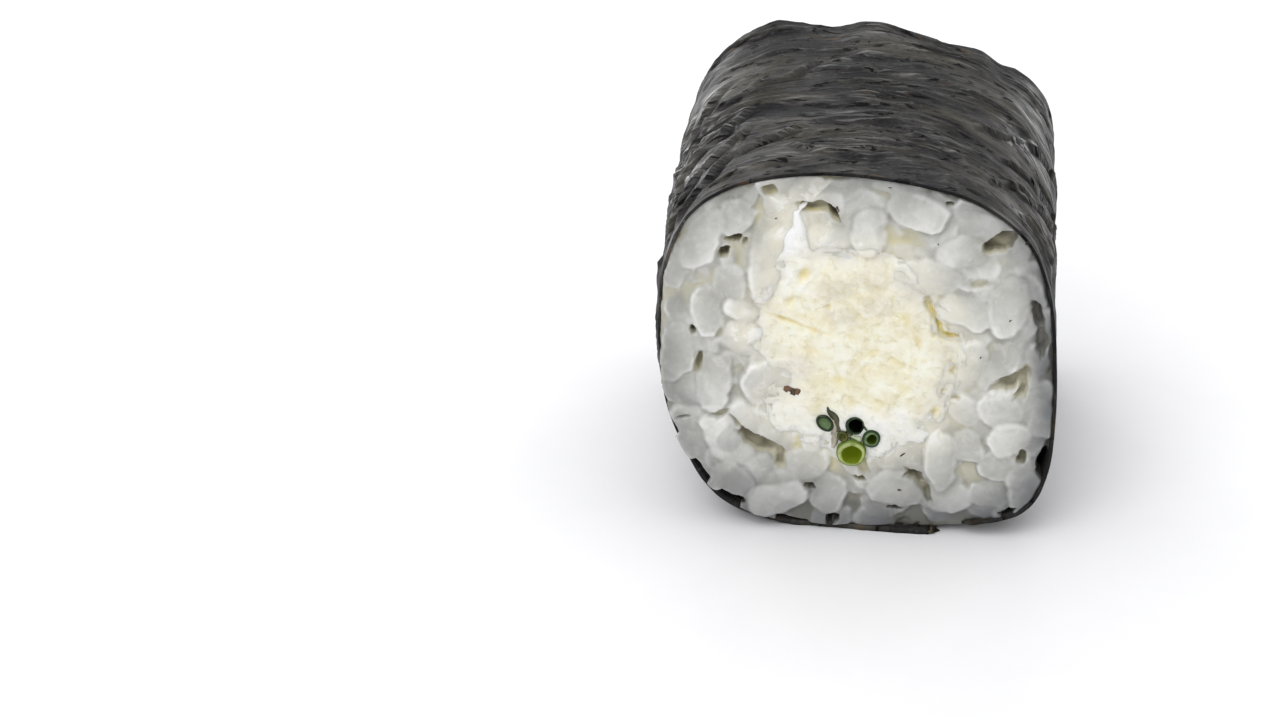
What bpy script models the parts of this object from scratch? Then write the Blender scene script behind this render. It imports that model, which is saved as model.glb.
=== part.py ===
"""A piece of thin sushi roll lying on its side: one sheet of nori rolled round sticky rice, with cream
cheese and a few chives running through the middle. Both ends are knife cuts.

Metres, +Z up. The roll's axis lies along Y and the cut that shows best faces -Y. The origin is on the
surface that the roll rests on, under its middle. The roll rests on its seam, the stretch where the end of
the sheet laps under its start.
"""

import math
import random

import bmesh
import bpy
import numpy as np
from mathutils import Matrix, Vector, noise

MM = 0.001                      # places on the cut are written in millimetres

# The roll
WIDTH = 29.4 * MM
LENGTH = 27.8 * MM              # from one cut edge of the nori to the other
SEED = 7

# Nori, a dried seaweed sheet softened by the rice
NORI_THICK = 0.4 * MM
LAP_GAP = 0.1 * MM              # left between the two layers of the seam
LAP_LENGTH = 15.6 * MM          # how far the sheet passes its own start
LIFT_LENGTH = 8.0 * MM          # the stretch over which the outer layer swings clear of the inner one
CRINKLE = 0.16 * MM             # how far the sheet waves in and out
CRINKLE_SIZE = (3.8 * MM, 3.0 * MM)   # a wave's size round the roll and along it
PRESSED_HEIGHT = 3.0 * MM       # the sheet lies smooth where it is pressed down, and waves above this
NORI_STEPS = 76                 # panels along the sheet
NORI_ROWS = 6                   # panels from cut to cut

# Outer face of the single layer, from the start of the sheet and on to the right, up, over and down again.
# What lies lower than the two layers of the seam is pressed flat: the roll rests there.
SEAM_HEIGHT = NORI_THICK + LAP_GAP
NORI_OUTLINE = [
    (-9.4, 2.2), (-5.5, 0.7), (-1.5, 0.3), (3.5, 0.3), (8.5, 0.9), (12.6, 2.2), (14.3, 5.5),
    (14.7, 10.5), (14.5, 16.0), (13.8, 21.2), (11.9, 25.2), (8.2, 27.9), (3.0, 29.4), (-3.0, 29.8),
    (-8.6, 28.8), (-12.5, 26.3), (-14.3, 21.8), (-14.7, 15.8), (-14.2, 10.2), (-12.4, 5.8),
]

# Clearances between neighbours
PIECE_GAP = 0.3 * MM

# Cream cheese: a soft bar pressed out of shape, with a thin tongue squeezed up between the grains
CHEESE_OUTLINE = [
    (-4.7, 26.6), (-5.3, 24.6), (-5.7, 21.5), (-6.8, 18.6), (-6.9, 15.8), (-4.6, 13.0), (-5.9, 10.6),
    (-5.0, 9.0), (-2.6, 8.1), (0.4, 7.2), (2.6, 8.0), (4.8, 9.0), (6.1, 11.5), (6.9, 14.6),
    (6.5, 17.2), (4.6, 19.4), (2.4, 22.4), (-1.0, 22.9), (-3.7, 23.2), (-4.1, 25.2),
]
CHEESE_POINTS = 60
CHEESE_ROWS = 6
CHEESE_WANDER = 0.5 * MM        # how far its outline drifts along the roll
CHEESE_WAVE = 5.5 * MM
CHEESE_TURNS = 3.0              # waves of that drift from cut to cut

# Chives: radius, wall, place at the front cut and place at the back cut
CHIVES = {
    "chive_wide": (1.08, 0.22, (-0.35, 6.85), (0.5, 7.1)),
    "chive_dark": (0.60, 0.20, (-0.14, 9.25), (1.3, 9.9)),
    "chive_ringed": (0.62, 0.20, (1.12, 8.20), (2.7, 7.7)),
    "chive_oval": (0.60, 0.20, (-2.33, 9.45), (-1.6, 9.2)),
    "chive_thin": (0.30, 0.12, (-1.00, 8.40), (-1.4, 7.9)),
}
CHIVE_SIDES = 10
CLEARANCE_OVERHANG = 3 * MM     # how far the room cut for a filling runs past both ends

# Rice: grain sizes in the cooked, swollen state
GRAIN_SIDES = 6
GRAIN_RINGS = 4
GRAIN_DEPTH = 1.15              # half thickness front to back, as a share of the half width
GRAIN_SINK = 0.7                # how far behind its cut face a grain's middle lies, in half widths
GRAIN_BLUNT = 0.18              # how much fuller than an ellipsoid a grain is towards its ends
CORE_RECESS = 1.3 * MM          # the packed mass behind the grains that show
CORE_POINTS = 64
RICE_INSET = NORI_THICK + 0.6 * CRINKLE + PIECE_GAP
RIM_BAND = 1.9 * MM             # grains this close to the nori lie along it
RIM_LEAN_SPREAD = 25            # degrees
FILL_SPACING = 2.55 * MM
FILL_JITTER = 0.25              # of the spacing
FILL_RIM = 0.35                 # a filling grain's middle is at least this many half widths inside the nori
FILL_CHEESE = 0.4               # and this many outside the cheese
FILL_HALF_LENGTH = (1.45 * MM, 2.1 * MM)
FILL_HALF_WIDTH = (1.05 * MM, 1.35 * MM)
FILL_PROUD_FRONT = (-0.75 * MM, -0.35 * MM)
FILL_PROUD_BACK = (-0.45 * MM, 0.3 * MM)
GRAIN_CLEAR = 1.27              # its middle keeps out of a placed grain grown by this factor
PRESS_STEP = 0.02 * MM          # neighbours flatten at depths inside the nori that differ by this
PRESS_LEVELS = 5
MERGE_DISTANCE = 0.001 * MM     # points left this close together by the joining become one

# Grains that can be told apart on the front cut: middle, half length, half width, lean from +X in
# degrees, and how far the cut face stands proud of the nori's edge
FRONT_GRAINS = [
    (-9.1, 26.0, 1.6, 1.25, 60, 0.28), (-11.6, 24.0, 2.6, 1.35, 68, 0.10),
    (-13.2, 22.4, 2.1, 0.85, 80, -0.35), (-12.4, 20.8, 1.3, 0.7, 5, -0.35),
    (-13.3, 18.9, 1.6, 0.95, 75, -0.20), (-11.2, 18.2, 2.0, 1.15, 95, 0.12),
    (-9.7, 20.4, 1.7, 1.25, 100, -0.05), (-8.7, 18.2, 1.2, 0.7, 150, 0.08),
    (-8.6, 16.1, 1.6, 1.3, 150, 0.00), (-6.9, 22.6, 3.7, 1.3, 84, 0.12),
    (-6.2, 27.1, 1.2, 0.95, 60, 0.00), (-4.5, 28.8, 1.7, 0.75, 10, -0.20),
    (-2.0, 28.4, 2.1, 1.0, 8, 0.05), (-3.2, 26.2, 1.1, 0.9, 60, -0.50),
    (-2.4, 24.5, 1.8, 1.15, 8, 0.25), (0.6, 25.1, 1.85, 1.5, 100, 0.28),
    (-10.5, 27.2, 1.3, 0.6, 40, -0.20), (-7.8, 28.0, 1.4, 0.6, 15, -0.60),
    (-13.3, 15.1, 2.2, 1.15, 92, -0.10), (-11.0, 15.6, 1.1, 1.0, 90, -0.35),
    (-10.7, 12.3, 2.35, 1.25, 88, 0.30), (-12.7, 11.0, 1.6, 0.95, 95, -0.15),
    (-12.2, 9.3, 1.1, 0.6, 5, -0.30), (-12.3, 7.2, 2.4, 1.15, 128, -0.05),
    (-9.9, 7.6, 2.55, 1.25, 115, 0.25), (-8.4, 6.6, 1.6, 0.9, 110, 0.10),
    (-7.8, 9.1, 2.4, 1.25, 142, 0.28), (-4.2, 8.0, 1.5, 1.05, 85, 0.05),
    (-4.0, 5.6, 2.2, 1.5, 20, 0.25), (-7.1, 4.8, 1.5, 1.2, 80, 0.00),
    (-9.1, 4.0, 1.65, 1.2, 160, -0.05), (-5.9, 2.6, 2.5, 1.3, 15, 0.25),
    (-7.0, 1.4, 1.6, 0.5, 165, -0.30), (-3.5, 1.3, 1.9, 1.0, 5, -0.55),
    (-1.9, 3.1, 1.75, 1.35, 70, 0.15), (0.3, 1.9, 1.5, 1.2, 60, -0.35),
    (-2.5, 7.0, 1.2, 0.8, 100, -0.50), (-6.4, 12.7, 2.3, 1.9, 20, 0.05),
    (3.4, 6.8, 2.0, 1.55, 35, 0.25), (3.0, 3.8, 2.0, 1.45, 170, 0.22),
    (6.3, 6.2, 2.3, 1.15, 95, 0.15), (8.2, 7.6, 1.5, 1.2, 100, 0.08),
    (8.1, 5.4, 1.1, 0.8, 90, -0.40), (10.5, 6.1, 1.6, 1.25, 170, 0.15),
    (11.4, 8.4, 1.7, 1.3, 25, 0.15), (10.6, 10.8, 1.7, 1.45, 120, 0.12),
    (8.0, 10.6, 1.6, 1.35, 150, 0.00), (13.4, 8.9, 2.3, 0.95, 85, -0.20),
    (12.7, 4.1, 2.0, 1.3, 95, 0.30), (7.1, 3.1, 1.75, 1.15, 5, 0.00),
    (10.1, 3.6, 1.5, 1.15, 10, -0.08), (9.2, 1.9, 1.6, 0.75, 8, -0.25),
    (6.9, 1.5, 1.4, 0.75, 0, -0.40), (4.7, 1.6, 1.5, 0.9, 150, -0.50),
    (2.6, 1.4, 1.4, 0.8, 20, -0.50), (13.1, 13.3, 2.3, 1.0, 88, -0.25),
    (10.6, 15.3, 2.2, 1.35, 80, -0.05), (8.3, 14.4, 2.35, 1.2, 88, 0.02),
    (0.4, 4.0, 1.2, 0.85, 20, -0.15), (1.0, 5.6, 0.9, 0.6, 80, -0.45),
    (4.0, 26.8, 2.4, 1.45, 160, 0.08), (7.8, 26.0, 2.5, 1.4, 165, 0.12),
    (2.6, 28.6, 2.0, 0.6, 175, -0.15), (5.6, 28.0, 1.2, 0.5, 160, -0.20),
    (7.1, 23.6, 1.9, 1.3, 10, 0.02), (4.9, 21.6, 2.6, 1.45, 170, 0.15),
    (10.2, 23.6, 1.5, 1.1, 45, -0.30), (11.7, 22.6, 0.65, 0.5, 60, 0.00),
    (12.9, 21.4, 1.7, 0.8, 100, -0.30), (10.9, 19.4, 2.7, 1.35, 82, 0.10),
    (7.9, 18.9, 2.0, 1.35, 165, 0.05), (12.3, 16.6, 1.4, 0.7, 90, -0.15),
    (3.7, 24.2, 1.6, 0.8, 0, -0.45),
]

NORI_COLOUR = (0.045, 0.047, 0.050, 1.0)
RICE_COLOUR = (0.62, 0.62, 0.59, 1.0)
CHEESE_COLOUR = (0.86, 0.82, 0.66, 1.0)
CHIVE_COLOUR = (0.075, 0.130, 0.018, 1.0)

SPLINE_STEPS = 24
LOOP_POINTS = 360               # an outline's points when places are measured against it


# ---------------------------------------------------------------- outlines

def smooth_loop(points, count):
    """A closed smooth curve through the points (millimetres), as count points evenly spaced along it."""
    corners = np.array(points) * MM
    before, after, beyond = (np.roll(corners, shift, axis=0) for shift in (1, -1, -2))
    steps = np.linspace(0.0, 1.0, SPLINE_STEPS, endpoint=False)[:, None, None]
    dense = 0.5 * (
        2 * corners + (after - before) * steps
        + (2 * before - 5 * corners + 4 * after - beyond) * steps ** 2
        + (3 * corners - before - 3 * after + beyond) * steps ** 3)
    dense = dense.transpose(1, 0, 2).reshape(-1, 2)
    closed = np.vstack([dense, dense[:1]])
    travelled = np.concatenate([[0.0], np.cumsum(np.linalg.norm(np.diff(closed, axis=0), axis=1))])
    places = np.linspace(0.0, travelled[-1], count, endpoint=False)
    return np.column_stack([np.interp(places, travelled, closed[:, axis]) for axis in (0, 1)])


def outward(loop):
    """Unit normals of a closed loop, pointing out whichever way round it runs."""
    along = np.roll(loop, -1, axis=0) - np.roll(loop, 1, axis=0)
    normals = np.column_stack([along[:, 1], -along[:, 0]])
    normals /= np.linalg.norm(normals, axis=1)[:, None]
    following = np.roll(loop, -1, axis=0)
    area = np.sum(loop[:, 0] * following[:, 1] - following[:, 0] * loop[:, 1])
    return normals * math.copysign(1.0, area)


def inside_loop(point, loop, normals, margin):
    """The point itself if it lies inside the loop by the margin, or else the nearest place that does."""
    nearest = np.argmin(np.sum((loop - point) ** 2, axis=1))
    excess = float(np.dot(point - loop[nearest], normals[nearest])) + margin
    return point - normals[nearest] * max(excess, 0.0)


def depth_in_loop(point, loop, normals):
    """How deep inside the loop a point lies, negative outside it."""
    nearest = np.argmin(np.sum((loop - point) ** 2, axis=1))
    return -float(np.dot(point - loop[nearest], normals[nearest]))


def roll_loop(count):
    """The single layer's outer face, pressed flat where the roll rests, and its normals."""
    loop = smooth_loop(NORI_OUTLINE, count)
    loop[:, 1] = np.maximum(loop[:, 1], SEAM_HEIGHT)
    return loop, outward(loop)


def smoothstep(value):
    value = min(max(value, 0.0), 1.0)
    return value * value * (3 - 2 * value)


# ---------------------------------------------------------------- scene and materials

def clear_scene():
    for thing in list(bpy.data.objects):
        bpy.data.objects.remove(thing, do_unlink=True)


def new_collection(name):
    collection = bpy.data.collections.new(name)
    bpy.context.scene.collection.children.link(collection)
    return collection


def new_material(name, colour, roughness):
    material = bpy.data.materials.new(name)
    material.use_nodes = True
    shader = material.node_tree.nodes["Principled BSDF"]
    shader.inputs["Base Color"].default_value = colour
    shader.inputs["Roughness"].default_value = roughness
    shader.inputs["Metallic"].default_value = 0.0
    return material


def new_object(name, bm, collection, material=None):
    mesh = bpy.data.meshes.new(name)
    bm.to_mesh(mesh)
    bm.free()
    thing = bpy.data.objects.new(name, mesh)
    collection.objects.link(thing)
    if material:
        mesh.materials.append(material)
    return thing


def make_cutter(thing):
    thing.hide_render = True
    thing.display_type = "WIRE"
    return thing


def apply_boolean(thing, operation, collection):
    """Join or cut the object with everything in the collection, and keep the result as its mesh."""
    modifier = thing.modifiers.new(operation.lower(), "BOOLEAN")
    modifier.operation = operation
    modifier.operand_type = "COLLECTION"
    modifier.collection = collection
    modifier.solver = "EXACT"
    evaluated = thing.evaluated_get(bpy.context.evaluated_depsgraph_get())
    joined = bpy.data.meshes.new_from_object(evaluated)
    thing.modifiers.remove(modifier)
    thing.data = joined


def keep_main_body(thing):
    """Drop loose scraps and the walls of sealed hollows, which leaves one filled body."""
    bm = bmesh.new()
    bm.from_mesh(thing.data)
    bmesh.ops.remove_doubles(bm, verts=bm.verts, dist=MERGE_DISTANCE)
    bmesh.ops.dissolve_degenerate(bm, edges=bm.edges, dist=MERGE_DISTANCE)
    waiting = set(bm.verts)
    bodies = []
    while waiting:
        body = {waiting.pop()}
        to_visit = list(body)
        while to_visit:
            vertex = to_visit.pop()
            for edge in vertex.link_edges:
                neighbour = edge.other_vert(vertex)
                if neighbour in waiting:
                    waiting.discard(neighbour)
                    body.add(neighbour)
                    to_visit.append(neighbour)
        bodies.append(body)
    largest = max(bodies, key=len)
    bmesh.ops.delete(bm, geom=[v for v in bm.verts if v not in largest], context="VERTS")
    bm.to_mesh(thing.data)
    bm.free()


# ---------------------------------------------------------------- nori

def nori_sheet(collection, material):
    """One open sheet that turns once round the roll and laps under its own start, thickened inwards."""
    base, normals = roll_loop(2 * LOOP_POINTS)
    girth = float(np.sum(np.linalg.norm(np.roll(base, -1, axis=0) - base, axis=1)))
    sheet_length = girth + LAP_LENGTH
    around, across = (1 / size for size in CRINKLE_SIZE)

    bm = bmesh.new()
    rows = []
    for step in range(NORI_STEPS + 1):
        travelled = sheet_length * step / NORI_STEPS
        index = int(round(travelled / girth * len(base))) % len(base)
        place, normal = base[index], normals[index]
        lift = smoothstep((travelled - girth + LIFT_LENGTH) / LIFT_LENGTH) * SEAM_HEIGHT
        free = smoothstep((place[1] - SEAM_HEIGHT) / PRESSED_HEIGHT)
        row = []
        for cut in range(NORI_ROWS + 1):
            y = LENGTH * (cut / NORI_ROWS - 0.5)
            wave = noise.noise(Vector((place[0] * around, y * across, place[1] * around)))
            x, z = place + normal * (wave * CRINKLE * free + lift)
            row.append(bm.verts.new((x, y, max(z, 0.0))))
        rows.append(row)
    for row, following in zip(rows, rows[1:]):
        for cut in range(NORI_ROWS):
            bm.faces.new((row[cut], row[cut + 1], following[cut + 1], following[cut]))

    widest = max(v.co.x for v in bm.verts)
    narrowest = min(v.co.x for v in bm.verts)
    for vertex in bm.verts:
        vertex.co.x = (vertex.co.x - (widest + narrowest) / 2) * WIDTH / (widest - narrowest)
    bmesh.ops.recalc_face_normals(bm, faces=bm.faces)
    bm.faces.ensure_lookup_table()
    top_face = max(bm.faces, key=lambda face: face.calc_center_median().z)
    if top_face.normal.z < 0:
        bmesh.ops.reverse_faces(bm, faces=bm.faces)

    sheet = new_object("nori", bm, collection, material)
    wall = sheet.modifiers.new("thickness", "SOLIDIFY")
    wall.thickness = NORI_THICK
    wall.offset = -1.0
    return sheet


# ---------------------------------------------------------------- cream cheese

def cheese_bar(name, grow, overhang, collection, material=None):
    """A loft along the roll between outlines that drift a little, grown outwards by the given amount."""
    outline = smooth_loop(CHEESE_OUTLINE, CHEESE_POINTS)
    normals = outward(outline)
    bm = bmesh.new()
    rings = []
    for row in range(CHEESE_ROWS + 1):
        along = row / CHEESE_ROWS
        y = (LENGTH + 2 * overhang) * (along - 0.5)
        drift = CHEESE_WANDER * math.sin(math.pi * along)
        ring = []
        for place, normal in zip(outline, normals):
            wave = noise.noise(Vector((place[0] / CHEESE_WAVE, along * CHEESE_TURNS, place[1] / CHEESE_WAVE)))
            x, z = place + normal * (grow + wave * drift)
            ring.append(bm.verts.new((x, y, z)))
        rings.append(ring)
    for ring, following in zip(rings, rings[1:]):
        for i in range(CHEESE_POINTS):
            j = (i + 1) % CHEESE_POINTS
            bm.faces.new((ring[i], ring[j], following[j], following[i]))
    bm.faces.new(rings[0])
    bm.faces.new(list(reversed(rings[-1])))
    bmesh.ops.recalc_face_normals(bm, faces=bm.faces)
    return new_object(name, bm, collection, material)


# ---------------------------------------------------------------- chives

def chive_placing(front, back, overhang):
    """Matrix that lays a unit cylinder, standing on +Z, from the front cut to the back cut."""
    start = Vector((front[0] * MM, -LENGTH / 2, front[1] * MM))
    end = Vector((back[0] * MM, LENGTH / 2, back[1] * MM))
    slant = (end - start) / LENGTH
    start, end = start - slant * overhang, end + slant * overhang
    along = end - start
    shear = Matrix((
        (1, 0, along.x, (start.x + end.x) / 2),
        (0, 0, along.y, 0.0),
        (0, 1, along.z, (start.z + end.z) / 2),
        (0, 0, 0, 1)))
    return shear


def chive(name, radius, wall, front, back, collection, material):
    """A hollow green leaf, open at both cuts."""
    bm = bmesh.new()
    bmesh.ops.create_cone(bm, cap_ends=False, segments=CHIVE_SIDES, radius1=radius * MM,
                          radius2=radius * MM, depth=1.0, matrix=chive_placing(front, back, 0.0))
    bmesh.ops.recalc_face_normals(bm, faces=bm.faces)
    tube = new_object(name, bm, collection, material)
    skin = tube.modifiers.new("wall", "SOLIDIFY")
    skin.thickness = wall * MM
    skin.offset = -1.0
    return tube


def chive_clearance(name, radius, front, back, collection):
    bm = bmesh.new()
    bmesh.ops.create_cone(bm, cap_ends=True, segments=CHIVE_SIDES, radius1=radius * MM + PIECE_GAP,
                          radius2=radius * MM + PIECE_GAP, depth=1.0,
                          matrix=chive_placing(front, back, CLEARANCE_OVERHANG))
    bmesh.ops.recalc_face_normals(bm, faces=bm.faces)
    return make_cutter(new_object(name, bm, collection))


# ---------------------------------------------------------------- rice

def rice_limit():
    """The outermost place that rice may reach, just inside the nori, and its normals."""
    loop, normals = roll_loop(LOOP_POINTS)
    loop = loop - normals * RICE_INSET
    return loop, outward(loop)


def rice_core(collection, material):
    """The packed mass, set back from both cuts."""
    loop, normals = rice_limit()
    every = len(loop) // CORE_POINTS
    bm = bmesh.new()
    ends = []
    for y in (-LENGTH / 2 + CORE_RECESS, LENGTH / 2 - CORE_RECESS):
        ends.append([bm.verts.new((x, y, z)) for x, z in loop[::every]])
    front, back = ends
    for i in range(len(front)):
        j = (i + 1) % len(front)
        bm.faces.new((front[i], front[j], back[j], back[i]))
    bm.faces.new(front)
    bm.faces.new(list(reversed(back)))
    bmesh.ops.recalc_face_normals(bm, faces=bm.faces)
    return new_object("rice", bm, collection, material)


def add_grain(name, grain, side, limit, margin, collection):
    """One grain with a flat knife cut, squeezed to stay inside the nori. side is -1 at the front cut."""
    x, z, half_length, half_width, lean, proud = grain
    loop, normals = limit
    cut_face = LENGTH / 2 + proud
    middle = cut_face - half_width * GRAIN_SINK
    placing = Matrix.Translation((x, side * middle, z)) @ Matrix.Rotation(-math.radians(lean), 4, "Y")
    lying = Matrix.Rotation(math.radians(90), 4, "Y")
    size = Matrix.Diagonal((half_length, half_width * GRAIN_DEPTH, half_width, 1))
    bm = bmesh.new()
    bmesh.ops.create_uvsphere(bm, u_segments=GRAIN_SIDES, v_segments=GRAIN_RINGS, radius=1.0)
    for vertex in bm.verts:
        girth = vertex.co.xy.length_squared
        vertex.co.xy *= 1 + GRAIN_BLUNT * 4 * girth * (1 - girth)
        vertex.co = placing @ size @ lying @ vertex.co
        vertex.co.y = side * min(side * vertex.co.y, cut_face)
        vertex.co.x, vertex.co.z = inside_loop(np.array((vertex.co.x, vertex.co.z)), loop, normals, margin)
    bmesh.ops.recalc_face_normals(bm, faces=bm.faces)
    return new_object(name, bm, collection)


def front_grains():
    return [tuple(value * MM for value in row[:4]) + (row[4], row[5] * MM) for row in FRONT_GRAINS]


def filling_grains(chance, limit, placed, proud_range):
    """Grains on a jittered honeycomb wherever rice shows and no placed grain lies."""
    loop, normals = limit
    cheese = smooth_loop(CHEESE_OUTLINE, LOOP_POINTS)
    cheese_normals = outward(cheese)
    row_step = FILL_SPACING * math.sqrt(3) / 2
    jitter = FILL_JITTER * FILL_SPACING
    rows = math.ceil(loop[:, 1].max() / row_step)
    columns = math.ceil(WIDTH / 2 / FILL_SPACING)
    grains = []
    for row in range(rows):
        for column in range(-columns, columns + 1):
            x = (column + 0.5 * (row % 2)) * FILL_SPACING + chance.uniform(-jitter, jitter)
            z = (row + 0.5) * row_step + chance.uniform(-jitter, jitter)
            half_length = chance.uniform(*FILL_HALF_LENGTH)
            half_width = chance.uniform(*FILL_HALF_WIDTH)
            lean = chance.uniform(0, 180)
            proud = chance.uniform(*proud_range)
            place = np.array((x, z))
            depth = depth_in_loop(place, loop, normals)
            if depth < FILL_RIM * half_width:
                continue
            if depth < RIM_BAND:
                nearest = normals[np.argmin(np.sum((loop - place) ** 2, axis=1))]
                lean = math.degrees(math.atan2(nearest[0], -nearest[1]))
                lean += chance.uniform(-RIM_LEAN_SPREAD, RIM_LEAN_SPREAD)
            if depth_in_loop(place, cheese, cheese_normals) > -FILL_CHEESE * half_width:
                continue
            if any(covers(grain, place) for grain in placed):
                continue
            grains.append((x, z, half_length, half_width, lean, proud))
    return grains


def covers(grain, place):
    """Whether the place lies on a placed grain or just beside it."""
    x, z, half_length, half_width, lean, _ = grain
    angle = math.radians(lean)
    dx, dz = place[0] - x, place[1] - z
    along = dx * math.cos(angle) + dz * math.sin(angle)
    across = dz * math.cos(angle) - dx * math.sin(angle)
    return math.hypot(along / half_length, across / half_width) < GRAIN_CLEAR


def build_rice(collection, cutters, material):
    """Core and grains joined by one union, then cut clear of the cheese and the chives."""
    chance = random.Random(SEED)
    limit = rice_limit()
    placed = front_grains()
    front = placed + filling_grains(chance, limit, placed, FILL_PROUD_FRONT)
    back = filling_grains(chance, limit, [], FILL_PROUD_BACK)

    rice = rice_core(collection, material)
    grains = new_collection("grains_to_join")
    for side, side_grains in ((-1, front), (1, back)):
        for number, grain in enumerate(side_grains):
            margin = PRESS_STEP * (1 + number % PRESS_LEVELS)
            add_grain(f"grain_{side}_{number}", grain, side, limit, margin, grains)
    apply_boolean(rice, "UNION", grains)
    for thing in list(grains.objects):
        bpy.data.objects.remove(thing, do_unlink=True)
    bpy.data.collections.remove(grains)
    apply_boolean(rice, "DIFFERENCE", cutters)
    keep_main_body(rice)
    return rice


# ---------------------------------------------------------------- the roll

def build_roll():
    clear_scene()
    roll = new_collection("cream_cheese_maki")
    chive_room = new_collection("chive_clearances")
    filling_room = new_collection("filling_clearances")
    nori_material = new_material("nori", NORI_COLOUR, 0.5)
    rice_material = new_material("rice", RICE_COLOUR, 0.45)
    cheese_material = new_material("cream_cheese", CHEESE_COLOUR, 0.4)
    chive_material = new_material("chive", CHIVE_COLOUR, 0.3)

    nori_sheet(roll, nori_material)
    for name, (radius, wall, front, back) in CHIVES.items():
        chive(name, radius, wall, front, back, roll, chive_material)
        clearance = chive_clearance(name + "_clearance", radius, front, back, chive_room)
        filling_room.objects.link(clearance)

    cheese = cheese_bar("cream_cheese", 0.0, 0.0, roll, cheese_material)
    apply_boolean(cheese, "DIFFERENCE", chive_room)
    keep_main_body(cheese)
    make_cutter(cheese_bar("cheese_clearance", PIECE_GAP, CLEARANCE_OVERHANG, filling_room))
    build_rice(roll, filling_room, rice_material)


build_roll()
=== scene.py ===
import math
import random

import bmesh
import bpy
import numpy as np
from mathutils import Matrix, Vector, noise
from mathutils.bvhtree import BVHTree


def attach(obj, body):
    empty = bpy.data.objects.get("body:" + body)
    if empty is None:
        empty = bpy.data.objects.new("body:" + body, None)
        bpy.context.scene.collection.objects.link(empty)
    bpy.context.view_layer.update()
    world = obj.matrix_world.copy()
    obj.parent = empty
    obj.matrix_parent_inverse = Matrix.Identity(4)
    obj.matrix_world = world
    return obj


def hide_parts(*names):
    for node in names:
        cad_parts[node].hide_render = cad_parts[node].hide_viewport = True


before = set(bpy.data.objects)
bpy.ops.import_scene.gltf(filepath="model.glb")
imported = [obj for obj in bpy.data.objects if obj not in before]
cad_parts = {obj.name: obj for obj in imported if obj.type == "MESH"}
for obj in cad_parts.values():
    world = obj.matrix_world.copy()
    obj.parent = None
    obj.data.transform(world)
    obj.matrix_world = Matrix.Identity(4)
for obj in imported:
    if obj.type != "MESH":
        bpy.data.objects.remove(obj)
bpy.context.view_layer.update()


# ==================== nori
# One dried seaweed sheet, softened by the rice. It goes once round the roll and laps under its own
# start along the bottom, where its torn end shows. Its fibres and creases run round the roll.

MM = 0.001                      # places on the cut are written in millimetres
WIDTH = 29.4 * MM
LENGTH = 27.8 * MM              # from one cut edge of the nori to the other
NORI_THICK = 0.22 * MM
SEAM_HEIGHT = 0.5 * MM          # the lapping layer's outer face lies this far outside the layer it covers
SEAM_FILL = 0.20 * MM           # and it swells by this much there, soft and wet
LAP_LENGTH = 15.6 * MM          # how far the sheet passes its own start
LIFT_LENGTH = 8.0 * MM
PRESSED_HEIGHT = 3.0 * MM       # the sheet lies smooth where it is pressed down, and creases above this
NORI_OUTLINE = [
    (-9.4, 2.2), (-5.5, 0.7), (-1.5, 0.3), (3.5, 0.3), (8.5, 0.9), (12.6, 2.2), (14.3, 5.5),
    (14.7, 10.5), (14.5, 16.0), (13.8, 21.2), (11.9, 25.2), (8.2, 27.9), (3.0, 29.4), (-3.0, 29.8),
    (-8.6, 28.8), (-12.5, 26.3), (-14.3, 21.8), (-14.7, 15.8), (-14.2, 10.2), (-12.4, 5.8),
]
SHEET_COLUMNS = 400             # along the sheet
SHEET_ROWS = 230                # from cut to cut on the outer face
INNER_ROWS = 10
ROLL_POINTS = 2400              # round the roll's own outline
TORN_END = 1.3 * MM
START_RECESS = 0.80 * MM        # the covered start of the sheet ends short of the cut
LEFT_RECESS = 0.70 * MM         # and its whole left side does, where rice swells over it
LEFT_SIDE = (140, 290)          # degrees round the roll
LEFT_FADE = (30, 40)
START_STRETCH = 19.0 * MM
CREASES = (12, 2.4, 0.36)       # creases along the bent fibres: length, width and height in millimetres
SMALL_CREASES = (4.6, 1.0, 0.09)
FINE_CREASES = (2.2, 0.5, 0.05)
DENTS = (7.6, 0.22)             # soft dents all over: size and height in millimetres
SMALL_DENTS = (2.6, 0.10)
# Folds pulled tight over the shoulders: angle round the roll and distance behind the front cut at both
# ends (degrees, millimetres), half width and height in millimetres
FOLDS = [
    (146, 0.6, 110, 7.5, 0.30, 0.34), (150, 2.6, 122, 8.6, 0.26, 0.36), (154, 4.4, 124, 12.0, 0.34, 0.34),
    (156, 6.6, 132, 14.0, 0.28, 0.26), (158, 9.0, 130, 19.0, 0.38, 0.30), (160, 3.0, 144, 8.4, 0.26, 0.20),
    (130, 15.0, 106, 19.5, 0.30, 0.26), (160, 13.0, 146, 20.0, 0.34, 0.18),
    (54, 4.5, 14, 10.5, 0.26, 0.26), (50, 9.0, 10, 14.0, 0.28, 0.28), (42, 2.4, 4, 5.6, 0.24, 0.22),
    (46, 6.6, 6, 8.6, 0.22, 0.20), (58, 13.0, 18, 18.5, 0.28, 0.24), (36, 12.0, 2, 13.0, 0.24, 0.20),
    (90, 8.4, 58, 5.4, 0.30, 0.20), (106, 11.4, 74, 13.0, 0.28, 0.18), (112, 4.0, 80, 3.2, 0.30, 0.16),
]
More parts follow.
